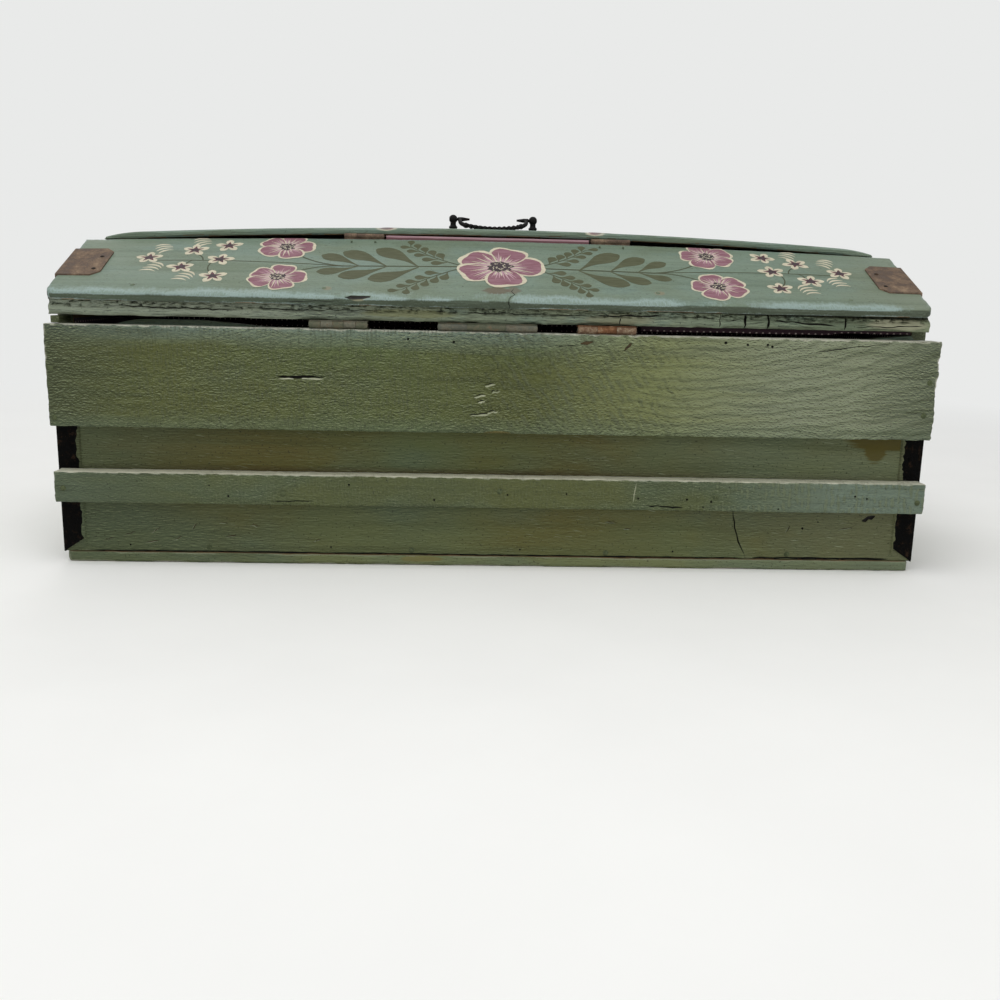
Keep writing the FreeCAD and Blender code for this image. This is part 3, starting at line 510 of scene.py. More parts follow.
agedPine = bareWood("agedPine", "#8a7350", "#5a452c")
agedPineAcross = bareWood("agedPineAcross", "#8a7350", "#5a452c", "y")
darkSplit = bareWood("darkSplit", "#1c180f", "#0d0b07")
paleSplit = bareWood("paleSplit", "#b3b59c", "#8d9377")
brownSplit = bareWood("brownSplit", "#4d3e22", "#261c0b")
scuffedPaint = bareWood("scuffedPaint", "#848b72", "#5b6249")
blackIron = agedIron("blackPaintedIron", "#030303", "#080706", "#2b2018", 0.05, 9, 3.0)
castIron = agedIron("blackCastIron", "#0a0a0a", "#121211", "#221c18", 0.14, 7, 0.3)
rustyIron = agedIron("rustedSheetIron", "#52443a", "#705e4e", "#8b7863", 0.14, 17, 1.2)
flakingRust = agedIron("flakingRust", "#67503f", "#83705b", "#a39a88", 0.1, 5, 2.2)
rustScale = agedIron("rustScale", "#5c3e2a", "#7a563c", "#8f7b64", 0.1, 7, 2.0)
paintedSteel = agedIron("paintedSteel", "#484c3c", "#5b5b4a", "#64533f", 0.2, 9, 0.6)
greySteel = agedIron("weatheredSteel", "#505248", "#666354", "#4a4339", 0.2, 10, 0.6)
nailIron = agedIron("nailIron", "#1b1714", "#33291f", "#4a3828", 0.14, 5, 0.3)
bareSteel = agedIron("bareSteel", "#565649", "#6b695a", "#5a4738", 0.2, 6, 0.8)
lidNail = agedIron("lidNail", "#5e6a58", "#6d7a67", "#4a4434", 0.16, 4, 0.4)
paintedNail = agedIron("paintedNail", "#3f4730", "#586043", "#2c3122", 0.16, 4, 0.4)
print("metal, cloth and bare wood materials made")


# Rails: thick rough-sawn boards along both sides of the box
# Splits are from (x, z), to (x, z), steps, sway, width and depth
# A line is steps and sway, and a cut is a width and a depth

railLook = {
    "finish": "roughSawnGreenPaint", "grain": "x", "patch": 130,
    "fibreLength": 22, "fibreWidth": 1.3, "fibreDepth": 0.9,
    "tear": {"length": 4.4, "height": 1.6, "amount": 0.8, "edge": 0.16, "depth": 1.8, "glint": 1.0},
    "streak": 0.4, "specks": 0.68, "main": "#535f33", "second": "#555a2b", "third": "#4c5d49", "dark": "#343b20",
    "light": "#8b9570", "dirtAndShade": "#191e10", "glint": "#b9c0a4", "worn": "#c6c5b3", "wornAmount": 0.8,
    "wornEdge": (0.82, 1.36), "dust": "#c4c4b5", "dustAmount": 0.9,
    # painted light: the rail's part right of the middle is painted lighter and its left end darker, as the light fell
    # from the right
    "toneAndLightBands": [(2, 248, 275, 0.9, "#788a80"), (0, 40, 170, 0.85, "#7f8555"), (0, 170, 320, 0.75, "#8b937e"),
              (0, 400, 480, 0.85, "#555d4a"), (0, -380, -490, 0.75, "#353d2a"), (2, 180, 158, 0.5, "#64745c")],
    "saws": [{"spacing": 4.4, "lean": 3, "depth": 0.9, "show": 0.15, "middle": -230, "reach": 340},
             {"spacing": 8.5, "lean": 34, "depth": 1.2, "show": 0.3, "middle": 90, "reach": 150}],
    "rings": {"centre": (205, 302), "stretch": 3.6, "spacing": 10, "depth": 0.4, "sway": 22, "show": 0.3,
              "from": 0, "to": 160},
    "spots": [((0, -225, 161), (16, 6, 2.5), "#6a6030", 0.8)], "chipRate": 90, "wornBelow": 0.15,
    "cell": (2.7, 5, 2.2), "relief": (0.5, 34, 11), "arris": 1.3, "seed": 1, "wearWidth": 3.2, "wearDepth": 1.5,
    "uneven": 0.5, "roughSpans": [(260, 500, 2.2)], "raggedEnds": [(1, 1.5, 3.2), (-1, 0.5, 4)],
    "holes": [(-100, 262.8), (-50, 260.6), (249.8, 265.6), (274.5, 263.9), (296.7, 264.3), (302, 262.4)],
    "bore": (1.1, 1.7, 9),
    "slots": [((-242, 218.8), (-192, 219.7), 9, 0.6, 2.6, 6)],
    "lips": [((-242, 216.7), (-192, 217.6), 9, 0.5, 1.3, 0.6)],
    "dents": [(-10.7, 215.5, 12), (-4, 208, 9), (-22, 203, 13), (-20, 196.5, 8), (-8, 185.6, 13), (-22, 182, 22)],
    "dentLine": (5, 0.7), "dentCut": (1.1, 1.6), "lipCut": (1.7, 0.7), "lipShift": (1.5, 0, -1.7),
    "cracks": [((62, 257.2), (86, 260.4), 4, 0.8, 0.9, 4), ((352, 258), (436, 268.5), 9, 0.8, 1.0, 5)],
    "torn": [((89, 261.6), (103, 263.8), 4, 0.6, 3.6, 1.5), ((138, 254.8), (145.5, 263), 4, 0.6, 4.0, 1.5)]}


def makeStrip(name, node, look, paint, rear):
    # a rail or a batten, with the holes and splits of the side that is known
    low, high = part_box(node)
    strip = paintedBoard(name, low, high, look, paint)
    if rear:
        y = low.y / mm
        least, most, deep = look["bore"]
        cutters = [roundCutter((x, y, z), dice.uniform(least, most), deep) for x, z in look["holes"]]
        cutters += [faceSplit(y, *slot) for slot in look.get("slots", ())]
        lips = [faceSplit(y, *lip) for lip in look.get("lips", ())]
        for x, z, length in look.get("dents", ()):
            line = crookedLine(y, (x - length / 2, z - 1), (x + length / 2, z + 1), *look["dentLine"])
            cutters.append(crackCutter(line, *look["dentCut"]))
            lips.append(crackCutter([p + Vector(look["lipShift"]) for p in line], *look["lipCut"]))
        cutters += [faceSplit(y, *crack) for crack in look["cracks"]]
        cutAway(strip, cutters, darkSplit)
        if "torn" in look:
            cutAway(strip, [faceSplit(y, *torn) for torn in look["torn"]], brownSplit)
        lips += [faceSplit(y, *scratch) for scratch in look.get("paleMarks", ())]
        cutAway(strip, lips, paleSplit)
    finishPiece(strip, "box", [node])


greenRail = agedPaint(railLook)
makeStrip("rearRail", "rear_top_rail", railLook, greenRail, True)
makeStrip("frontRail", "front_top_rail", railLook, greenRail, False)
print("rails made")


# Battens: narrow strips over the joint of the wall boards, dusty on top

battenLook = {
    "finish": "battenGreenPaint", "grain": "x", "fibreLength": 30, "fibreWidth": 1.4, "fibreDepth": 0.8, "patch": 90,
    "tear": {"length": 4.5, "height": 1.5, "amount": 0.45, "edge": 0.2, "depth": 0.8, "glint": 0.6},
    "streak": 0.3, "specks": 0.68, "main": "#4c5433", "second": "#51562e", "third": "#485845", "dark": "#343a26",
    "light": "#808a68", "dirtAndShade": "#1d2114", "glint": "#a9b096", "worn": "#b3b7a4", "wornAmount": 0.5,
    "wornEdge": (0.86, 1.5), "dust": "#d6d4bf", "dustAmount": 0.85,
    # painted light: the right part of the batten is painted lighter
    "toneAndLightBands": [(0, -330, -480, 0.8, "#4a5747"), (0, 240, 400, 0.85, "#6a7a6d")],
    "saws": [{"spacing": 7, "lean": 2, "depth": 1.2, "show": 0.42, "middle": 400, "reach": 260},
             {"spacing": 4, "lean": 0, "depth": 0.7, "show": 0.13, "middle": -100, "reach": 420}],
    "chipRate": 140, "wornBelow": 0.15, "cell": (3.2, 5, 2.4), "relief": (0.4, 30, 9), "arris": 1.5, "seed": 2,
    "wearWidth": 3.4, "wearDepth": 0.9, "uneven": 0.5, "raggedEnds": [(1, 1.0, 5), (-1, 1.0, 5)],
    "holes": [(13, 90), (80, 92), (162, 88), (218, 87.5), (246, 85.5), (-70, 83), (412, 94), (426, 91.5), (324, 78),
              (237, 79), (-322, 96), (-301, 84), (-166, 99)],
    "bore": (0.9, 1.4, 8),
    "cracks": [((172, 80), (214, 78), 7, 0.7, 1.4, 5), ((-252, 79), (-206, 80), 7, 0.7, 0.9, 4)],
    "paleMarks": [((159, 106), (156, 83), 5, 0.5, 0.9, 0.9)]}
greenBatten = agedPaint(battenLook)
makeStrip("rearBatten", "rear_batten", battenLook, greenBatten, True)
makeStrip("frontBatten", "front_batten", battenLook, greenBatten, False)
print("battens made")


# Walls and base: planed boards, darker below the rail and split on the right

wallLook = {
    "finish": "wallGreenPaint", "grain": "x", "fibreLength": 90, "fibreWidth": 2.6, "fibreDepth": 0.35, "patch": 130,
    "tear": {"length": 11, "height": 1.8, "amount": 0.45, "edge": 0.22, "depth": 0.7, "glint": 0.35},
    "streak": 0.4, "specks": 0.635, "main": "#535d34", "second": "#554f20", "third": "#4c5b46", "dark": "#3c4124",
    "light": "#7a845c", "dirtAndShade": "#212411", "glint": "#8d967a", "worn": "#8b9078", "wornAmount": 0.4,
    "wornEdge": (0.86, 1.2), "dust": "#8f8f78", "dustAmount": 0.5,
    # painted light: the right part of the upper wall is painted lighter
    "toneAndLightBands": [(2, 117, 109, 0.9, "#44391c"), (0, 100, 300, 0.5, "#68745a"), (2, 266, 268, 0.9, "#5a6d62"),
              (0, -280, -470, 0.6, "#4a5843")],
    "spots": [((456, -198, 157), (62, 9, 16), "#494102", 0.95), ((440, -198, 144), (15, 9, 16), "#494102", 0.95)],
    "scratches": [{"length": 26, "width": 1.1, "lean": -9, "show": 0.75},
                  {"length": 14, "width": 1.0, "lean": 4, "show": 0.6}],
    "cell": (6, 6, 4.5), "arris": 0.8, "seed": 3, "wearWidth": 3, "wearDepth": 0.9, "uneven": 0.5,
    "split": [(278.2, 72), (279, 63), (281, 57), (281.5, 50), (285, 41), (287, 33), (292, 24), (296, 16.5)],
    "holes": [(362, 50, 1.4, 8), (380, 58, 0.9, 6)], "pegs": [(x, 20, 1.1, 5) for x in (-420, -190, 30, 210)],
    "cracks": [((432, 60), (447, 66), 4, 1.2, 5, 2.5), ((306, 13.6), (468, 14.2), 20, 0.5, 2.4, 5),
               ((-460, 13.2), (290, 13.2), 70, 0.3, 1.5, 4)],
    "scuffs": [(-452, 24, 11, 2.5), (-428, 30, 13, 4.5), (-404, 22, 15, 2), (-396, 34, 9, 6), (-372, 26, 10, 3),
               (-350, 38, 4.5, 7), (-318, 46, 8, 1), (-312, 30, 12, 1.5), (-283, 44, 10, -1), (-210, 26, 7, 2.5),
               (128, 54, 13, -1.5), (150, 46, 8, 0.5), (404, 48, 17, 4), (342, 44, 4, 8)],
    "splitCut": (1.5, 7), "scuffLine": (4, 0.8), "scuffCut": (1.1, 0.7), "shadeCut": (0.8, 0.9),
    "shadeShift": (2, 0, 1.4)}
lowerLook = dict(wallLook, finish="lowerWallGreenPaint", spots=[], main="#565d38", second="#575324", third="#4c5b47",
                 # painted shade: the left end of the lower wall is painted darker
                 toneAndLightBands=[(0, -150, -430, 0.7, "#3f4931"), (2, 72, 78, 0.6, "#3a3f26"), (0, 260, 400, 0.6, "#5c6047")])
greenWall = agedPaint(wallLook)
greenLower = agedPaint(lowerLook)


def makeWall(name, node, side):
    low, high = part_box(node)
    wall = paintedBoard(name, low, high, lowerLook, greenLower)
    if side < 0:
        y = low.y / mm
        cutters = [crackCutter([(x, y, z) for x, z in wallLook["split"]], *wallLook["splitCut"])]
        cutters += [roundCutter((x, y, z), radius, deep) for x, z, radius, deep in wallLook["holes"]]
        cutters += [faceSplit(y, *crack) for crack in wallLook["cracks"]]
        cutters += [roundCutter((x, y, z), radius, deep) for x, z, radius, deep in wallLook["pegs"]]
        cutAway(wall, cutters, darkSplit)
        for x, z, length, climb in wallLook["scuffs"]:
            line = crookedLine(y, (x, z), (x + length, z + climb), *wallLook["scuffLine"])
            cutAway(wall, [crackCutter(line, *wallLook["scuffCut"])], scuffedPaint)
            shade = [p + Vector(wallLook["shadeShift"]) for p in line]
            cutAway(wall, [crackCutter(shade, *wallLook["shadeCut"])], brownSplit)
    innerFaces(wall, agedPine, lambda face: face.normal.y * side < -0.9)
    finishPiece(wall, "box", [node])


makeWall("rearWallLow", "rear_board_lower", -1)
makeWall("frontWallLow", "front_board_lower", 1)

endLook = dict(wallLook, finish="endGreenPaint", grain="y", spots=[], main="#5c6541", second="#5b6038", seed=4,
               toneAndLightBands=[(2, 60, 20, 0.5, "#464b2c"), (2, 255, 266, 0.7, "#333a28")], cell=(6, 6, 5), specks=0.665)
greenEnd = agedPaint(endLook)
for name, node, side in (("leftEnd", "left_end_board", -1), ("rightEnd", "right_end_board", 1)):
    low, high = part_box(node)
    endBoard = paintedBoard(name, low, high, endLook, greenEnd)
    innerFaces(endBoard, agedPineAcross, lambda face: face.normal.x * side < -0.9)
    finishPiece(endBoard, "box", [node])

# a small ear of the left end board stands up into the gap below the lid
earLook = dict(endLook, low=(-485.6, -220, 272.2), high=(-476.5, -180.2, 280.3), seed=12, cell=(4, 5, 3), arris=1.0)
ear = paintedBoard("leftEndEar", Vector(earLook["low"]) * mm, Vector(earLook["high"]) * mm, earLook, greenEnd)
finishPiece(ear, "box")

baseLook = dict(wallLook, finish="baseGreenPaint", main="#6b724c", second="#666940", third="#5c6d5c",
                # painted shade: the left end of the base is painted darker
                toneAndLightBands=[(0, -220, -470, 0.7, "#46533f"), (0, 240, 420, 0.6, "#62705f"), (2, 3.5, 0, 0.7, "#2c3020")],
                spots=[((-85, -200, 8), (22, 5, 3), "#71693a", 0.7)], wornAmount=0.55, seed=5, cell=(5, 6, 3),
                arris=0.9, wearWidth=3.5, wearDepth=1.3, cornerRound=9.0)
greenBase = agedPaint(baseLook)
for part in ("Rear", "Middle", "Front"):
    node = "base_plank_" + part.lower()
    low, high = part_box(node)
    plank = paintedBoard("base" + part, low, high, baseLook, greenBase)
    if part != "Middle":
        roundPlan(plank, 0, high.x, low.y if part == "Rear" else high.y, baseLook["cornerRound"] * mm)
    innerFaces(plank, agedPine, lambda face: abs(face.normal.z) > 0.9)
    finishPiece(plank, "box", [node])
print("walls, ends and base made")


# Lid: sloped panels with a bowed upper edge, weathered skirts and a bowed top plank

panelLook = {
    "finish": "lidGreenPaint", "grain": "x", "fibreLength": 90, "fibreWidth": 2.4, "fibreDepth": 0.16, "patch": 60,
    "tear": {"length": 5, "height": 3.0, "amount": 0.26, "edge": 0.25, "depth": 0.25, "glint": 0.0},
    "streak": 0.3, "specks": 0.66, "main": "#687969", "second": "#616f5b", "third": "#667b72", "dark": "#505e4f",
    "light": "#7f8f7c", "dirtAndShade": "#39412f", "glint": "#93a392", "worn": "#8c9f9b", "wornAmount": 0.85,
    "wornEdge": (0.84, 1.3), "dust": "#7b8b78", "dustAmount": 0.0,
    # painted shade: the panel's lower edge, below z 304.5, is painted dark
    "toneAndLightBands": [(0, 360, 470, 0.6, "#707865"), (0, -360, -470, 0.4, "#74806f"), (2, 306, 304.5, 0.9, "#333b2b")],
    "spots": [((-4, -203, 315), (16, 9, 9), "#574a38", 0.8), ((15, -202, 315), (9, 8, 8), "#5b5040", 0.7),
              ((-154, -225, 305), (9, 4, 3), "#8c8a70", 0.7), ((-190, -206, 314), (6, 5, 5), "#7d6f55", 0.6),
              ((178, -201, 317), (6, 5, 5), "#7d6f55", 0.6)],
    "cell": (4.4, 4.4, 3.1), "arris": 1.3, "seed": 6, "wearWidth": 3.2, "wearDepth": 1.1, "uneven": 0.05,
    "band": 21, "edge": 9.2, "camber": 9.0, "cornerRound": 11.0,
    "topCrack": [(15.5, 26), (12.5, 20), (16, 13), (11, 8), (9, -0.5)],
    "footCrack": [(9.2, 1), (8.6, -3), (10.5, -6), (9, -10)],
    "chip": [(-168, -0.3), (-160, -1.2), (-150, -0.8), (-141, -0.2)],
    "topCut": (0.9, 3), "footCut": (0.9, 5), "chipCut": (1.8, 4),
    "footSplit": ((-232, -5.5), (-176, -4.2), 7, 0.6, 0.8, 4)}
panelLow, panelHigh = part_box("lid_rear_panel")
lidCentre = (panelLow.x + panelHigh.x) / 2
lidHalf = (panelHigh.x - panelLow.x) / 2
panelFoot = panelLow.z + panelLook["edge"] * mm
panelEnd = panelHigh.z - panelLook["camber"] * mm


def panelHeight(x, y):
    # the outer face of the rear panel: straight at the foot, bowed along the top
    bow = panelLook["camber"] * mm * (1 - ((x - lidCentre) / lidHalf) ** 2)
    share = (y - panelLow.y) / (panelHigh.y - panelLow.y)
    return panelFoot + share * (panelEnd + bow - panelFoot)


def makePanel(name, node, front):
    # made flat, then lifted to the slope, and turned about for the front
    low = Vector((panelLow.x, panelLow.y, -panelLook["edge"] * mm))
    high = Vector((panelHigh.x, panelHigh.y, 0.0))
    panel = paintedBoard(name, low, high, panelLook, greenPanel)
    roundPlan(panel, lidCentre, lidHalf, low.y, panelLook["cornerRound"] * mm)
    if not front:
        y = low.y / mm
        crack = [(x, y + up, 0) for x, up in panelLook["topCrack"]]
        cutAway(panel, [crackCutter(crack, *panelLook["topCut"], Vector((0, 0, 1)))], darkSplit)
        cutters = [crackCutter([(x, y, z) for x, z in panelLook[line]], *panelLook[cut])
                   for line, cut in (("footCrack", "footCut"), ("chip", "chipCut"))]
        cutters.append(faceSplit(y, *panelLook["footSplit"]))
        cutAway(panel, cutters, darkSplit)
    for vertex in panel.data.vertices:
        vertex.co.z += panelHeight(vertex.co.x, vertex.co.y)
    if front:
        panel.data.transform(Matrix.Translation((2 * lidCentre, 0, 0)) @ Matrix.Rotation(math.pi, 4, "Z"))
    innerFaces(panel, agedPine, lambda face: face.normal.z < -0.8)
    finishPiece(panel, "lid", [node])


greenPanel = agedPaint(panelLook)
makePanel("lidPanelRear", "lid_rear_panel", False)
makePanel("lidPanelFront", "lid_front_panel", True)

skirtLook = {
    "finish": "splitGreenPaint", "grain": "x", "fibreLength": 30, "fibreWidth": 1.8, "fibreDepth": 0.9, "patch": 60,
    "tear": {"length": 12, "height": 2.2, "amount": 0.6, "edge": 0.2, "depth": 1.8, "glint": 0.6},
    "streak": 0.3, "specks": 0.66, "main": "#78846f", "second": "#757d65", "third": "#6d837a", "dark": "#363c29",
    "light": "#929d82", "dirtAndShade": "#12150c", "glint": "#b3bba3", "worn": "#7d846e", "wornAmount": 0.5,
    "wornEdge": (0.86, 1.2), "dust": "#6e725e", "dustAmount": 0.4,
    "toneAndLightBands": [(0, -60, -280, 0.8, "#8a9382"), (0, 200, 330, 0.6, "#596a54"), (0, 390, 440, 0.75, "#838b6c")],
    "crumble": (8.5, 4.0, 4.2, 4.2), "shrunk": (150, 460, 16.5, 3.5), "clear": 0.2,
    "spots": [((440, -220, 289), (34, 9, 8), "#9b9b82", 0.8), ((128, -220, 288), (40, 9, 7), "#82836a", 0.7),
              ((-100, -220, 290), (60, 9, 5), "#75774f", 0.6)],
    "cell": (2.3, 6, 1.3), "arris": 0.8, "seed": 8, "wearWidth": 4.5, "wearDepth": 2.4, "uneven": 0.9,
    "roughSpans": [(-480, -330, 1.3), (90, 480, 1.5)], "raggedEnds": [(1, 2.2, 5), (-1, 1.6, 5)],
    "splits": [((-412, 292.2), (-290, 289.6), 1.2), ((-262, 291.2), (-130, 292.8), 0.9),
               ((-40, 292.4), (96, 291.6), 0.9), ((104, 291.5), (178, 293), 1.4), ((200, 292.4), (238, 292.0), 1.0),
               ((249, 288.6), (266, 291.5), 1.2), ((276, 287.4), (292, 288.8), 1.2), ((303, 290.4), (372, 286.2), 1.6),
               ((396, 285.4), (470, 287.6), 1.0)],
    "breaks": [(132, 283, 289.6, 1.0), (243, 282.5, 296, 1.2), (271, 281.5, 297, 2.6), (297.5, 281.5, 297, 2.6),
               (383, 282, 296, 1.8)],
    "splitStep": 7, "splitSway": 0.9, "splitDepth": 5, "breakSteps": 4, "breakSway": 0.6, "breakDepth": 8}


def makeSkirt(name, node, side):
    low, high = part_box(node)
    skirt = paintedBoard(name, low, high, skirtLook, greenSkirt)
    if side < 0:
        y = low.y / mm
        step, sway, depth = (skirtLook["split" + key] for key in ("Step", "Sway", "Depth"))
        cutAway(skirt, [faceSplit(y, start, end, round((end[0] - start[0]) / step), sway, width, depth)
                        for start, end, width in skirtLook["splits"]], darkSplit)
        steps, sway, depth = (skirtLook["break" + key] for key in ("Steps", "Sway", "Depth"))
        cutAway(skirt, [faceSplit(y, (x, z0), (x + dice.uniform(-1, 1), z1), steps, sway, width, depth)
                        for x, z0, z1, width in skirtLook["breaks"]], darkSplit)
    # the top follows the underside of the panel
    for vertex in skirt.data.vertices:
        under = panelHeight(vertex.co.x, -abs(vertex.co.y)) - panelLook["edge"] * mm - skirtLook["clear"] * mm
        vertex.co.z = min(vertex.co.z, under)
    innerFaces(skirt, agedPine, lambda face: face.normal.y * side < -0.9)
    finishPiece(skirt, "lid", [node])


greenSkirt = agedPaint(skirtLook)
makeSkirt("lidSkirtRear", "lid_rear_skirt", -1)
makeSkirt("lidSkirtFront", "lid_front_skirt", 1)

plankLook = dict(
    panelLook, finish="plankGreenPaint", fibreDepth=0.4, seed=9, band=6, worn="#7f9189", wornAmount=0.5, dark="#3f4a3d",
    tear={"length": 22, "height": 1.8, "amount": 0.45, "edge": 0.22, "depth": 0.9, "glint": 0.2},
    spots=[((x, -85, z), radii, tint, 0.95) for x in (-134, 117)
           for z, radii, tint in ((387, (13, 8, 4.2), "#c0baa5"), (388, (10, 8, 3.8), "#7d4d5a"))],
    toneAndLightBands=[(0, 380, 470, 0.5, "#79836f")], cell=(5, 5, 2.7), wearDepth=1.5, arris=2.2, camber=15.0, uneven=0.06,
    thick=8.0, taper=46, tipWear=0.62, tipPower=2.2, raggedEnds=[(1, 2.0, 6), (-1, 2.0, 6)],
    pinAxis=(-0.0865, 0.3762), barrel=3.2, barrelGap=0.4)
greenPlank = agedPaint(plankLook)
plankLow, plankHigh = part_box("flap_plank")
plankCentre = (plankLow.x + plankHigh.x) / 2
plankHalf = (plankHigh.x - plankLow.x) / 2


def plankHeight(x):
    # the underside of the bowed top plank
    return plankLow.z + plankLook["camber"] * mm * (1 - ((x - plankCentre) / plankHalf) ** 2)


low = Vector((plankLow.x, plankLow.y, 0.0))
high = Vector((plankHigh.x, plankHigh.y, plankLook["thick"] * mm))
topPlank = paintedBoard("topPlank", low, high, plankLook, greenPlank)
taper = plankLook["taper"] * mm
for vertex in topPlank.data.vertices:
    # the ends are worn down towards the tip
    far = max(0.0, abs(vertex.co.x - plankCentre) - plankHalf + taper) / taper
    vertex.co.z *= 1 - plankLook["tipWear"] * far ** plankLook["tipPower"]
    vertex.co.z += plankHeight(vertex.co.x)
barrels = []
for node in ("flap_hinge_left_flap_leaf", "flap_hinge_right_flap_leaf"):
    leafLow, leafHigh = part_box(node)
    middle = Vector(((leafLow.x + leafHigh.x) / 2, *plankLook["pinAxis"])) / mm
    length = (leafHigh.x - leafLow.x) / mm / 2 + plankLook["barrelGap"]
    barrels.append(roundCutter(middle, plankLook["barrel"], length, (0, math.pi / 2, 0)))
cutAway(topPlank, barrels, agedPine)
innerFaces(topPlank, agedPine, lambda face: face.normal.z < -0.8)
finishPiece(topPlank, "flap", ["flap_plank"])
print("lid panels, skirts and top plank made")


# Lath along the plank's edge: pink above, maroon below

lathLook = dict(plankLook, wearDepth=0.5, wearWidth=1.5, uneven=0.1, cell=(4, 2, 2), arris=0.5,
                pinkHigh=1.9, lineSway=1.2, lineSoft=0.5, pink=("#8d6971", "#a5868b"), maroon="#5b343a")


def lathPaint(top):
    # two lines of decorator's paint on a thin lath, chalky pink over dull maroon
    material, add, shader, place = newMaterial("pinkLathPaint", {"Roughness": 0.6, "IOR": 1.5})
    space = add("Mapping", {"Vector": place, "Scale": grainRates("x", 40, 2)})
    streaks = add("TexNoise", {"Vector": space, "Scale": 1.0, "Detail": 4.0})
    height = add("SeparateXYZ", {"Vector": place}, out=2)
    swayed = add("Math", (streaks, lathLook["lineSway"] * mm, height), operation="MULTIPLY_ADD")
    line = top - lathLook["pinkHigh"] * mm
    amount = add("MapRange", (swayed, line, line + lathLook["lineSoft"] * mm))
    pink = add("MixRGB", (streaks, *lathLook["pink"]))
    setInputs(shader, {"Base Color": add("MixRGB", (amount, lathLook["maroon"], pink))})
    return material


low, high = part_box("flap_lath")
lath = paintedBoard("pinkLath", low, high, lathLook, lathPaint(high.z))
finishPiece(lath, "lid", ["flap_lath"])
print("lath made")


# Painted flowers: thin coats of paint that lie on the panels
# On a panel, places are x in mm and a share of the slope, and on the plank both are in mm

flowerLook = {
    "paints": {"rose": ("#794f5a", "#8c6872"), "blush": ("#b2949a", "#a1808a"), "cream": ("#c9c2ab", "#b1aa94"),
               "centre": ("#3f3237", "#2e2529"), "leaf": ("#44472f", "#50533c"), "stem": ("#414530", "#383c29"),
               "maroon": ("#5f3640", "#4a2c34")},
    "coat": 0.05, "lift": 0.07, "levelLift": 0.03, "crown": 8, "big": 53, "middle": 35, "small": 15.5, "rightTrim": 9,
    "slopeEnds": (0.012, 0.992), "bigPlace": (1, 0.54), "pair": [(248, 0.83), (248, 0.302)],
    "bigTurns": (4, 72, 146, 207, 281), "middleTurns": (2, 78, 150, 212, 290),
    "leafRoot": 0.51, "leafWidth": 0.37, "plankLeafWidth": 0.42,
    "leaves": [(92, 143, 0.81, 0), (92, 147, 0.29, 0), (128, 181, 0.75, 1), (128, 181, 0.33, 1), (160, 205, 0.69, 1),
               (160, 206, 0.4, 1)],
    "stems": [((46, 0.53), (180, 0.505), 0.0, 2.6, 8), ((176, 0.505), (236, 0.72), -0.1, 2.0, 8),
              ((176, 0.505), (232, 0.38), 0.1, 2.0, 8), ((178, 0.505), (395, 0.57), 0.02, 1.7, 14)],
    "sprigs": [((40, 0.54), (104, 0.87), -0.06, 0), ((40, 0.52), (108, 0.14), 0.04, 1)], "trimLift": 0.005,
    "twigBend": 0.15, "twigWidth": 1.6, "strokeLength": 21, "plankStrokeLength": 24,
    "twigs": [((338, 0.57), (352, 0.7)), ((350, 0.57), (354, 0.5)), ((325, 0.57), (322, 0.34))],
    "blossoms": [(400, 0.62), (353, 0.765), (316, 0.85), (319, 0.598), (359, 0.453), (319, 0.305)],
    "strokes": [(389, 0.79, -24), (348, 0.91, -24), (390, 0.435, 20), (350, 0.285, 24)],
    "plankRear": (-134, 117), "plankRows": (36, 135), "frontShift": 14, "plankLeafRoot": 86,
    "plankStem": ((140, 88), (372, 84), 0.02, 2.2, 14),
    "plankLeaves": [(176, 226, 118), (176, 224, 52), (216, 262, 112), (216, 260, 58), (254, 296, 106), (254, 296, 66)],
    "plankBlossoms": [(330, 108), (362, 84), (334, 60)], "plankStrokes": [(372, 116, -24), (374, 52, 24)]}
coats = {name: [] for name in ("leaf", "stem", "cream", "rose", "blush", "maroon", "centre", "light")}
crown = flowerLook["crown"]
slope = math.hypot((panelHigh.y - panelLow.y) / mm, (panelEnd - panelFoot) / mm + crown)


def brushMark(coat, points, level):
    # an outline in mm, along the chest and up the slope
    coats[coat].append((points, level))


def polar(x, up, far, turn):
    return x + far * math.cos(turn), up + far * math.sin(turn)


def petalOutline(x, up, turn, length, width, start, notch, steps=22):
    outline = []
    sway = dice.uniform(0, 6.28)
    for i in range(steps):
        phi = 2 * math.pi * i / steps
        reach = start + (1 - start) * (0.5 - 0.5 * math.cos(phi))
        reach -= notch * math.exp(-((phi - math.pi) / 0.36) ** 2)
        reach *= 1 + 0.025 * math.sin(3 * phi + sway)
        side = width * math.sin(phi) * (0.5 + 0.5 * reach) * (1 + 0.05 * math.sin(2 * phi + sway))
        a, b = reach * length, side * length
        outline.append((x + a * math.cos(turn) - b * math.sin(turn), up + a * math.sin(turn) + b * math.cos(turn)))
    return outline


def taperedLine(points, widths):
    left, right = [], []
    for i, (x, up) in enumerate(points):
        x0, up0 = points[max(i - 1, 0)]
        x1, up1 = points[min(i + 1, len(points) - 1)]
        length = math.hypot(x1 - x0, up1 - up0) or 1
        nx, nu = -(up1 - up0) / length, (x1 - x0) / length
        left.append((x + nx * widths[i] / 2, up + nu * widths[i] / 2))
        right.append((x - nx * widths[i] / 2, up - nu * widths[i] / 2))
    return left + right[::-1]


def bentLine(a, b, bend, steps=8):
    # points of a bowed line from a to b
    nx, nu = -(b[1] - a[1]), b[0] - a[0]
    line = []
    for i in range(steps + 1):
        t = i / steps
        bow = bend * 4 * t * (1 - t)
        line.append((a[0] + (b[0] - a[0]) * t + nx * bow, a[1] + (b[1] - a[1]) * t + nu * bow))
    return line


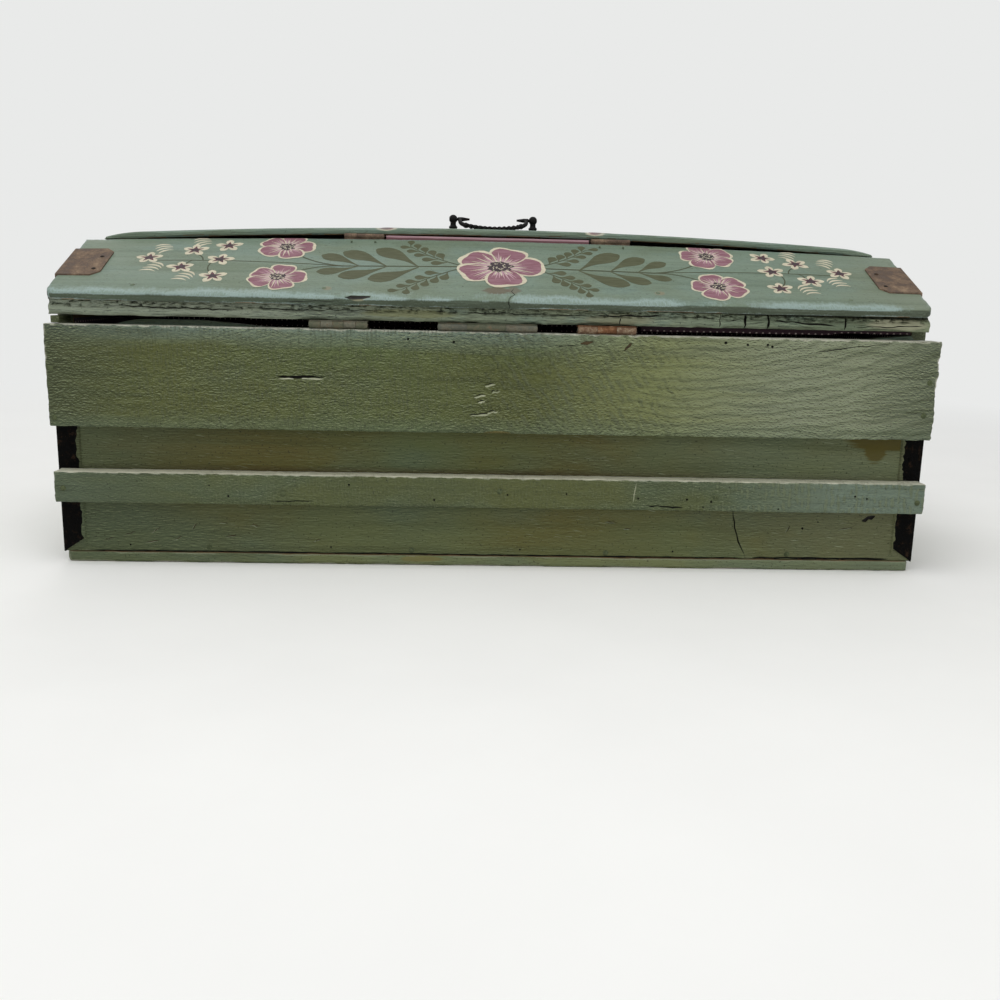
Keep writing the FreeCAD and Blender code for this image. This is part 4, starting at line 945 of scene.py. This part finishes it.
def bigFlower(x, up, size, turns):
    for order, turn in enumerate(turns):
        # each petal laps over the one before it
        angle = math.radians(turn + dice.uniform(-3, 3))
        grow = dice.uniform(0.95, 1.03)
        brushMark("cream", petalOutline(x, up, angle, size * grow, 0.56, 0.06, 0.06), 2 * order + 1)
        brushMark("rose", petalOutline(x, up, angle, size * grow * 0.93, 0.52, 0.08, 0.07), 2 * order + 2)
        for k in range(11):
            # dry strokes from the centre, pale over the rose, a few of them cream
            ray = angle + math.radians((k - 5) * 6.2 + dice.uniform(-2, 2))
            inner, outer = size * 0.2, size * dice.uniform(0.42, 0.8)
            ends = [polar(x, up, r, ray) for r in (inner, (inner + outer) / 2, outer)]
            widths = (size * 0.036, size * 0.036, size * 0.004)
            brushMark("light" if k % 3 == 1 else "blush", taperedLine(ends, widths), 11)
    ring = [(k * math.tau / 26, size * 0.27 * dice.uniform(0.72, 1.2)) for k in range(26)]
    brushMark("centre", [polar(x, up, r, a) for a, r in ring], 12)
    for k in range(26):
        ray = k * math.tau / 26 + dice.uniform(-0.2, 0.2)
        a = polar(x, up, size * dice.uniform(0.06, 0.28), ray)
        b = polar(*a, size * 0.07, ray + 1.2)
        brushMark("light", taperedLine(bentLine(a, b, 0.25, 4), (0.3, 0.8, 1.1, 0.8, 0.3)), 13)


def smallBlossom(x, up):
    size = flowerLook["small"]
    first = dice.uniform(0, 72)
    for k in range(5):
        angle = math.radians(first + 72 * k + dice.uniform(-6, 6))
        far = size * dice.uniform(0.92, 1.1)
        ends = [polar(x, up, far * t, angle) for t in (0.1, 0.35, 0.6, 0.82, 0.95, 1.0)]
        brushMark("cream", taperedLine(ends, [size * w for w in (0.2, 0.46, 0.62, 0.5, 0.2, 0.03)]), 1 + 0.3 * k)
        ends = [polar(x, up, size * t, angle) for t in (0.0, 0.25, 0.48, 0.66)]
        brushMark("maroon", taperedLine(ends, [size * w for w in (0.3, 0.3, 0.16, 0.03)]), 4)
    star = [(k * math.tau / 16, size * dice.uniform(0.18, 0.4)) for k in range(16)]
    brushMark("centre", [polar(x, up, r, a) for a, r in star], 5)


def commaStrokes(x, up, side, head, length, count=4):
    # a fan of short bowed strokes, side by side
    for k in range(count):
        place = k - (count - 1) / 2
        reach = length * (1 - 0.1 * abs(place))
        turn = math.radians(head + place * 9)
        dx, du = side * math.cos(turn), math.sin(turn)
        shift = -2.6 if head > 0 else 2.4
        a = (x - dx * reach / 2 + side * place * shift, up - du * reach / 2 + place * 5.8)
        b = (a[0] + dx * reach, a[1] + du * reach)
        widths = (0.6, 1.4, 2.3, 3.0, 3.2, 2.8, 1.9, 0.6)
        brushMark("light", taperedLine(bentLine(a, b, 0.2 * side, 7), widths), 1)


def dropLeaf(root, tip, width):
    # a stalk that swells into a rounded tip, as one loaded brush leaves it
    turn = math.atan2(tip[1] - root[1], tip[0] - root[0])
    length = math.hypot(tip[0] - root[0], tip[1] - root[1])
    line = bentLine(root, tip, 0.06 if math.sin(2 * turn) > 0 else -0.06, 12)
    widths = [width * w for w in (0.08, 0.1, 0.14, 0.22, 0.33, 0.48, 0.66, 0.84, 0.97, 1.0, 0.93, 0.7, 0.16)]
    brushMark("leaf", taperedLine(line, [w * length for w in widths]), 0)


def sprig(root, tip, bend, steps=12, size=20):
    # small drop leaves by turns on either side of a bowed stalk
    line = bentLine(root, tip, bend, steps)
    brushMark("stem", taperedLine(line, [2.0 - i / steps for i in range(steps + 1)]), 0)
    for i in range(3, steps + 1):
        (x0, up0), (x, up) = line[i - 1], line[i]
        turn = math.atan2(up - up0, x - x0) + math.radians(38 if i % 2 else -38)
        dropLeaf((x, up), polar(x, up, size * (1.1 - 0.3 * i / steps), turn), 0.55)


def stemLine(a, b, bend, width, steps=8):
    brushMark("stem", taperedLine(bentLine(a, b, bend, steps), [width] * (steps + 1)), 0)


def decoratePanel():
    # one big flower in the middle, and on either side leaves, two flowers and small blossoms
    x, up = flowerLook["bigPlace"]
    bigFlower(x, up * slope, flowerLook["big"], flowerLook["bigTurns"])
    for side in (-1, 1):
        def at(x, up):
            return side * x, up * slope

        trim = 0 if side < 0 else flowerLook["rightTrim"]
        for root, x, up, trimmed in flowerLook["leaves"]:
            # on the right the outer leaves are a little shorter
            dropLeaf(at(root, flowerLook["leafRoot"]), at(x - trim * trimmed, up), flowerLook["leafWidth"])
        for a, b, bend, width, steps in flowerLook["stems"]:
            stemLine(at(*a), at(*b), bend * side, width, steps)
        for root, (x, up), bend, trimmed in flowerLook["sprigs"]:
            short = trim * trimmed
            sprig(at(*root), at(x - short, up + flowerLook["trimLift"] * short), bend * side)
        turns = [turn if side < 0 else 180 - turn for turn in flowerLook["middleTurns"]]
        for x, up in flowerLook["pair"]:
            bigFlower(*at(x, up), flowerLook["middle"], turns)
        for x, up in flowerLook["blossoms"]:
            smallBlossom(*at(x, up))
        for x, up, head in flowerLook["strokes"]:
            commaStrokes(*at(x, up), side, head, flowerLook["strokeLength"])
        for a, b in flowerLook["twigs"]:
            stemLine(at(*a), at(*b), flowerLook["twigBend"] * side, flowerLook["twigWidth"])


def decoratePlank():
    # along the plank's middle line, on either side of the handle
    rear, front = flowerLook["plankRows"]
    for side, x in zip((-1, 1), flowerLook["plankRear"]):
        bigFlower(x, rear, flowerLook["middle"], flowerLook["middleTurns"])
        bigFlower(x + side * flowerLook["frontShift"], front, flowerLook["middle"], flowerLook["bigTurns"])
        (x0, up0), (x1, up1), bend, width, steps = flowerLook["plankStem"]
        stemLine((side * x0, up0), (side * x1, up1), bend * side, width, steps)
        for root, tip, up in flowerLook["plankLeaves"]:
            foot = (side * root, flowerLook["plankLeafRoot"])
            dropLeaf(foot, (side * tip, up), flowerLook["plankLeafWidth"])
        for x, up in flowerLook["plankBlossoms"]:
            smallBlossom(side * x, up)
        for x, up, head in flowerLook["plankStrokes"]:
            commaStrokes(side * x, up, side, head, flowerLook["plankStrokeLength"])


def onPanel(x, up, lift, front=False):
    # the place on a panel of a point x along and up the slope, both in mm, with the coat's lift
    run, rise = panelHigh.y - panelLow.y, panelEnd - panelFoot + crown * mm
    tilt = Vector((0, -rise, run)).normalized()
    y = panelLow.y + clamp(up / slope, *flowerLook["slopeEnds"]) * run
    point = Vector((x * mm, y, panelHeight(x * mm, y))) + tilt * lift
    return Vector((2 * lidCentre - point.x, -point.y, point.z)) if front else point


def onPlank(x, up, lift):
    return Vector((x * mm, plankLow.y + up * mm, plankHeight(x * mm) + plankLook["thick"] * mm + lift))


def layCoats(where, place, body):
    for coat, marks in coats.items():
        corners, faces = [], []
        for points, level in marks:
            first = len(corners)
            lift = (flowerLook["lift"] + flowerLook["levelLift"] * level) * mm
            corners += [place(x, up, lift) for x, up in points]
            ring = list(range(first, len(corners)))
            a, b, c = (corners[ring[i]] for i in (0, len(ring) // 3, 2 * len(ring) // 3))
            faces.append(ring if (b - a).cross(c - a).z > 0 else ring[::-1])
        film = newMesh(coat + where, corners, faces)
        film.data.materials.append(paints[coat])
        thicken(film, flowerLook["coat"], -1)
        finishPiece(film, body)


decoratePanel()
paints = {name: brushPaint(name + "BrushPaint", *tints) for name, tints in flowerLook["paints"].items()}
paints["light"] = paints["cream"]
layCoats("Rear", onPanel, "lid")
layCoats("Front", partial(onPanel, front=True), "lid")
for marks in coats.values():
    marks.clear()
decoratePlank()
layCoats("Plank", onPlank, "flap")
print("flowers painted")


# Lining: dotted cotton stretched over the inside of the box
# Each sheet has its axis across, its axis upward, the axis that it faces and the board behind it

liningLook = {
    "node": "lining_", "ripple": 0.25, "waves": (14, 9), "cuts": 24, "thread": 0.4, "finish": "dottedCotton",
    "spacing": 7.5, "weft": 0.8, "dot": 0.16, "dotRim": 0.04, "ground": ("#35202a", "#472d38"),
    "crossing": "#3d2631", "dots": "#c3b5b0",
    "sheets": {"floor": (0, 1, 2, "base_plank_middle"), "rear": (0, 2, 1, "rear_board_upper"),
               "front": (0, 2, 1, "front_board_upper"), "left": (1, 2, 0, "left_end_board"),
               "right": (1, 2, 0, "right_end_board")}}
cotton = dottedCloth(liningLook)


def makeLining(which, across, upward, normal, behind):
    low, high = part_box(liningLook["node"] + which)
    centre, size = (low + high) / 2, high - low
    width, length = size[across], size[upward]
    acrossRate, upwardRate = liningLook["waves"]
    pickPieces()
    bpy.ops.mesh.primitive_plane_add(size=1)
    sheet = bpy.context.object
    sheet.name = "cotton" + which.capitalize()
    editMesh((bpy.ops.mesh.subdivide, {"number_cuts": liningLook["cuts"]}))
    for loop in sheet.data.uv_layers.active.data:
        loop.uv = (loop.uv[0] * width, loop.uv[1] * length)
    for vertex in sheet.data.vertices:
        u, v = vertex.co.x, vertex.co.y
        place = Vector(centre)
        place[across] = centre[across] + u * width
        place[upward] = centre[upward] + v * length
        wave = noise.noise(Vector((u * acrossRate, v * upwardRate, len(which))))
        place[normal] += wave * liningLook["ripple"] * mm
        vertex.co = place
    sheet.data.update()
    thicken(sheet, liningLook["thread"], 0)
    sheet.data.materials.append(cotton)
    finishPiece(sheet, "box", [liningLook["node"] + which])


for which, place in liningLook["sheets"].items():
    makeLining(which, *place)


# The lid's own lining shows as a dotted edge below the rear skirt, on the right

edgeLook = {"from": 160, "to": 468, "top": 290.0, "drop": 5.6, "shortFrom": 372, "shortOver": 14, "shortDrop": 3.4,
            "gap": 0.5, "cells": 60, "rows": 6, "dotShift": 3.4, "sag": 0.5, "sagLength": 30}
skirtLow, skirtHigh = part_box("lid_rear_skirt")
pickPieces()
bpy.ops.mesh.primitive_grid_add(x_subdivisions=edgeLook["cells"], y_subdivisions=edgeLook["rows"], size=1)
clothEdge = bpy.context.object
clothEdge.name = "cottonEdge"
edgeWidth = (edgeLook["to"] - edgeLook["from"]) * mm
edgeHeight = edgeLook["top"] * mm - skirtLow.z + edgeLook["drop"] * mm
for loop in clothEdge.data.uv_layers.active.data:
    loop.uv = (loop.uv[0] * edgeWidth, loop.uv[1] * edgeHeight + edgeLook["dotShift"] * mm)
for vertex in clothEdge.data.vertices:
    x = edgeLook["from"] + (edgeLook["to"] - edgeLook["from"]) * (vertex.co.x + 0.5)
    ease = clamp((x - edgeLook["shortFrom"]) / edgeLook["shortOver"])
    sag = edgeLook["sag"] * noise.noise(Vector((x / edgeLook["sagLength"], 2, 0)))
    drop = edgeLook["drop"] + (edgeLook["shortDrop"] - edgeLook["drop"]) * ease + sag
    bottom = skirtLow.z - drop * mm
    z = bottom + (edgeLook["top"] * mm - bottom) * (vertex.co.y + 0.5)
    vertex.co = Vector((x * mm, skirtHigh.y + edgeLook["gap"] * mm, z))
clothEdge.data.update()
thicken(clothEdge, liningLook["thread"], 0)
clothEdge.data.materials.append(cotton)
finishPiece(clothEdge, "lid")
print("lining made")


# Paint lapped over the inner edges of the corner irons, ragged where the brush stopped

lapLook = {"spans": ((20, 74), (109.6, 159.5)), "step": 2.6, "least": 0.4, "most": 5.0, "foot": 2.2, "coat": 0.2,
           "over": 0.1, "past": 0.2, "under": 0.3, "usual": 1.6, "sway": 3.2, "coarse": 60, "fine": 260,
           "fineShare": 0.8}


def paintLap(name, node, side):
    low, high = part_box(node)
    inner = high.x if low.x < 0 else low.x
    toward = 1 if low.x < 0 else -1
    ironFace = (low.y if side < 0 else high.y) + side * lapLook["over"] * mm
    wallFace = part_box("rear_board_lower")[0].y if side < 0 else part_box("front_board_lower")[1].y
    corners, faces = [], []
    for bottom, top in lapLook["spans"]:
        rows = round((top - bottom) / lapLook["step"])
        for i in range(rows + 1):
            z = (bottom + (top - bottom) * i / rows) * mm
            rag = noise.noise(Vector((z * lapLook["coarse"], inner, side)))
            rag += lapLook["fineShare"] * noise.noise(Vector((z * lapLook["fine"], inner, 5)))
            reach = clamp(lapLook["usual"] + lapLook["sway"] * rag, lapLook["least"], lapLook["most"]) * mm
            corners += [(inner - toward * reach, ironFace, z), (inner + toward * lapLook["past"] * mm, ironFace, z),
                        (inner + toward * lapLook["foot"] * mm, wallFace - side * lapLook["under"] * mm, z)]
            if i:
                last = len(corners) - 3
                faces += [[last - 3 + k, last - 2 + k, last + 1 + k, last + k] for k in (0, 1)]
    lap = newMesh(name, corners, faces)
    lap.data.materials.append(greenLower)
    thicken(lap, lapLook["coat"], 0)
    pickPieces(lap)
    editMesh(selectAll, faceOutwards)
    finishPiece(lap, "box")


for wall, side in (("Rear", -1), ("Front", 1)):
    for end in ("Left", "Right"):
        paintLap("lap" + wall + end, "corner_iron_" + wall.lower() + "_" + end.lower(), side)
print("paint laps made")


# Upper walls, gables and ironwork keep the CAD shapes and get their finishes, the last that fits a name

finishes = {
    "rear_board_upper": greenWall, "front_board_upper": greenWall,
    "lid_left_gable": greenEnd, "lid_right_gable": greenEnd,
    "corner_iron_": blackIron, "lid_strap_": rustyIron, "handle_": castIron, "lid_hinge_left_": paintedSteel,
    "lid_hinge_middle_": greySteel, "lid_hinge_right_": flakingRust, "lid_hinge_pins": greySteel,
    "flap_hinge_": rustyIron, "lid_hinge_lower_screws": nailIron, "lid_hinge_upper_screws": nailIron,
    "rear_wall_nails": paintedNail, "front_wall_nails": paintedNail, "lid_panel_nails": lidNail,
    "flap_hinge_lid_screws": lidNail, "lid_hinge_left_upper": bareSteel, "lid_hinge_middle_upper": paintedSteel,
    "lid_hinge_right_upper": rustScale, "lid_strap_screws": nailIron}
for node, obj in nodes.items():
    for start, material in finishes.items():
        if node.startswith(start):
            obj.data.materials.clear()
            obj.data.materials.append(material)
print("ironwork finished")


# Stage, light and camera

stageLook = {
    "pale": "#f8f8f6", "mottle": "#f1f1ef", "seen": "#e9eae9", "sky": "#f3f3f2", "skyPower": 0.55,
    "size": 16, "rise": 7, "shadowNear": 0.7, "shadowFar": 2.2, "aim": (0, 0, 0.2),
    "lights": [("keyAbove", (-0.3, -1.0, 2.4), 2.2, 33), ("fillFront", (1.4, -2.6, 1.2), 2.0, 12),
               ("fillBack", (-0.8, 2.4, 1.7), 2.0, 16)]}


def seenRays(add):
    # one for what the camera sees itself, in a shine or through glass, and nought for light
    rays = add("LightPath").node.outputs
    seen = add("Math", (rays["Is Camera Ray"], rays["Is Glossy Ray"]), operation="MAXIMUM")
    return add("Math", (seen, rays["Is Transmission Ray"]), operation="MAXIMUM")


pickPieces()
bpy.ops.mesh.primitive_plane_add(size=stageLook["size"])
floor = bpy.context.object
floor.name = "paleFloor"
pickEdges(floor, 0, 0.1)
for edge in floor.data.edges:
    edge.select = edge.select and floor.data.vertices[edge.vertices[0]].co.y > 0
editMesh((bpy.ops.mesh.extrude_region_move, {"TRANSFORM_OT_translate": {"value": (0, 0, stageLook["rise"])}}))
# far from the object the camera and the shiny parts see a plain pale tone, and close by the shadow stays
pale, add, shader, place = newMaterial("palePlaster", {"Roughness": 0.9})
mottle = add("TexNoise", {"Vector": place, "Scale": 6.0, "Detail": 4.0})
setInputs(shader, {"Base Color": add("MixRGB", (mottle, stageLook["pale"], stageLook["mottle"]))})
away = add("VectorMath", (place,), out="Value", operation="LENGTH")
away = add("MapRange", (away, stageLook["shadowNear"], stageLook["shadowFar"]))
amount = add("Math", (seenRays(add), away), operation="MULTIPLY")
glow = add("Emission", {"Color": stageLook["seen"]})
mixed = add("MixShader", (amount, shader.outputs[0], glow))
setInputs(pale.node_tree.nodes["Material Output"], {"Surface": mixed})
floor.data.materials.append(pale)

world = bpy.data.worlds.new("softSky")
bpy.context.scene.world = world
world.use_nodes = True
add = partial(addNode, world.node_tree)
sky = world.node_tree.nodes["Background"]
setInputs(sky, {"Color": stageLook["sky"], "Strength": stageLook["skyPower"]})
mixed = add("MixShader", (seenRays(add), sky.outputs[0], add("Background", {"Color": stageLook["seen"]})))
setInputs(world.node_tree.nodes["World Output"], {"Surface": mixed})

for name, place, size, power in stageLook["lights"]:
    light = bpy.data.lights.new(name, "AREA")
    light.shape = "DISK"
    light.size = size
    light.energy = power
    lamp = bpy.data.objects.new(name, light)
    lamp.location = place
    lamp.rotation_euler = (Vector(stageLook["aim"]) - Vector(place)).to_track_quat("-Z", "Y").to_euler()
    bpy.context.scene.collection.objects.link(lamp)

# the camera stands at the photograph's place, level with the lid and a little to the left of the middle
cameraLook = {"place": (-0.03865, -1.35649, 0.32545), "turn": -2.176, "tilt": 78.0, "roll": 1.29,
              "lens": 36.85, "sensor": 36}
lens = bpy.data.cameras.new("photoCamera")
lens.lens = cameraLook["lens"]
lens.sensor_width = cameraLook["sensor"]
camera = bpy.data.objects.new("photoCamera", lens)
turn, tilt, roll = (Matrix.Rotation(math.radians(cameraLook[key]), 4, axis)
                    for key, axis in (("turn", "Z"), ("tilt", "X"), ("roll", "Z")))
camera.matrix_world = Matrix.Translation(cameraLook["place"]) @ (turn @ tilt @ roll)
bpy.context.scene.collection.objects.link(camera)
bpy.context.scene.camera = camera
bpy.context.scene.view_settings.view_transform = "Standard"
print("stage, light and camera set")
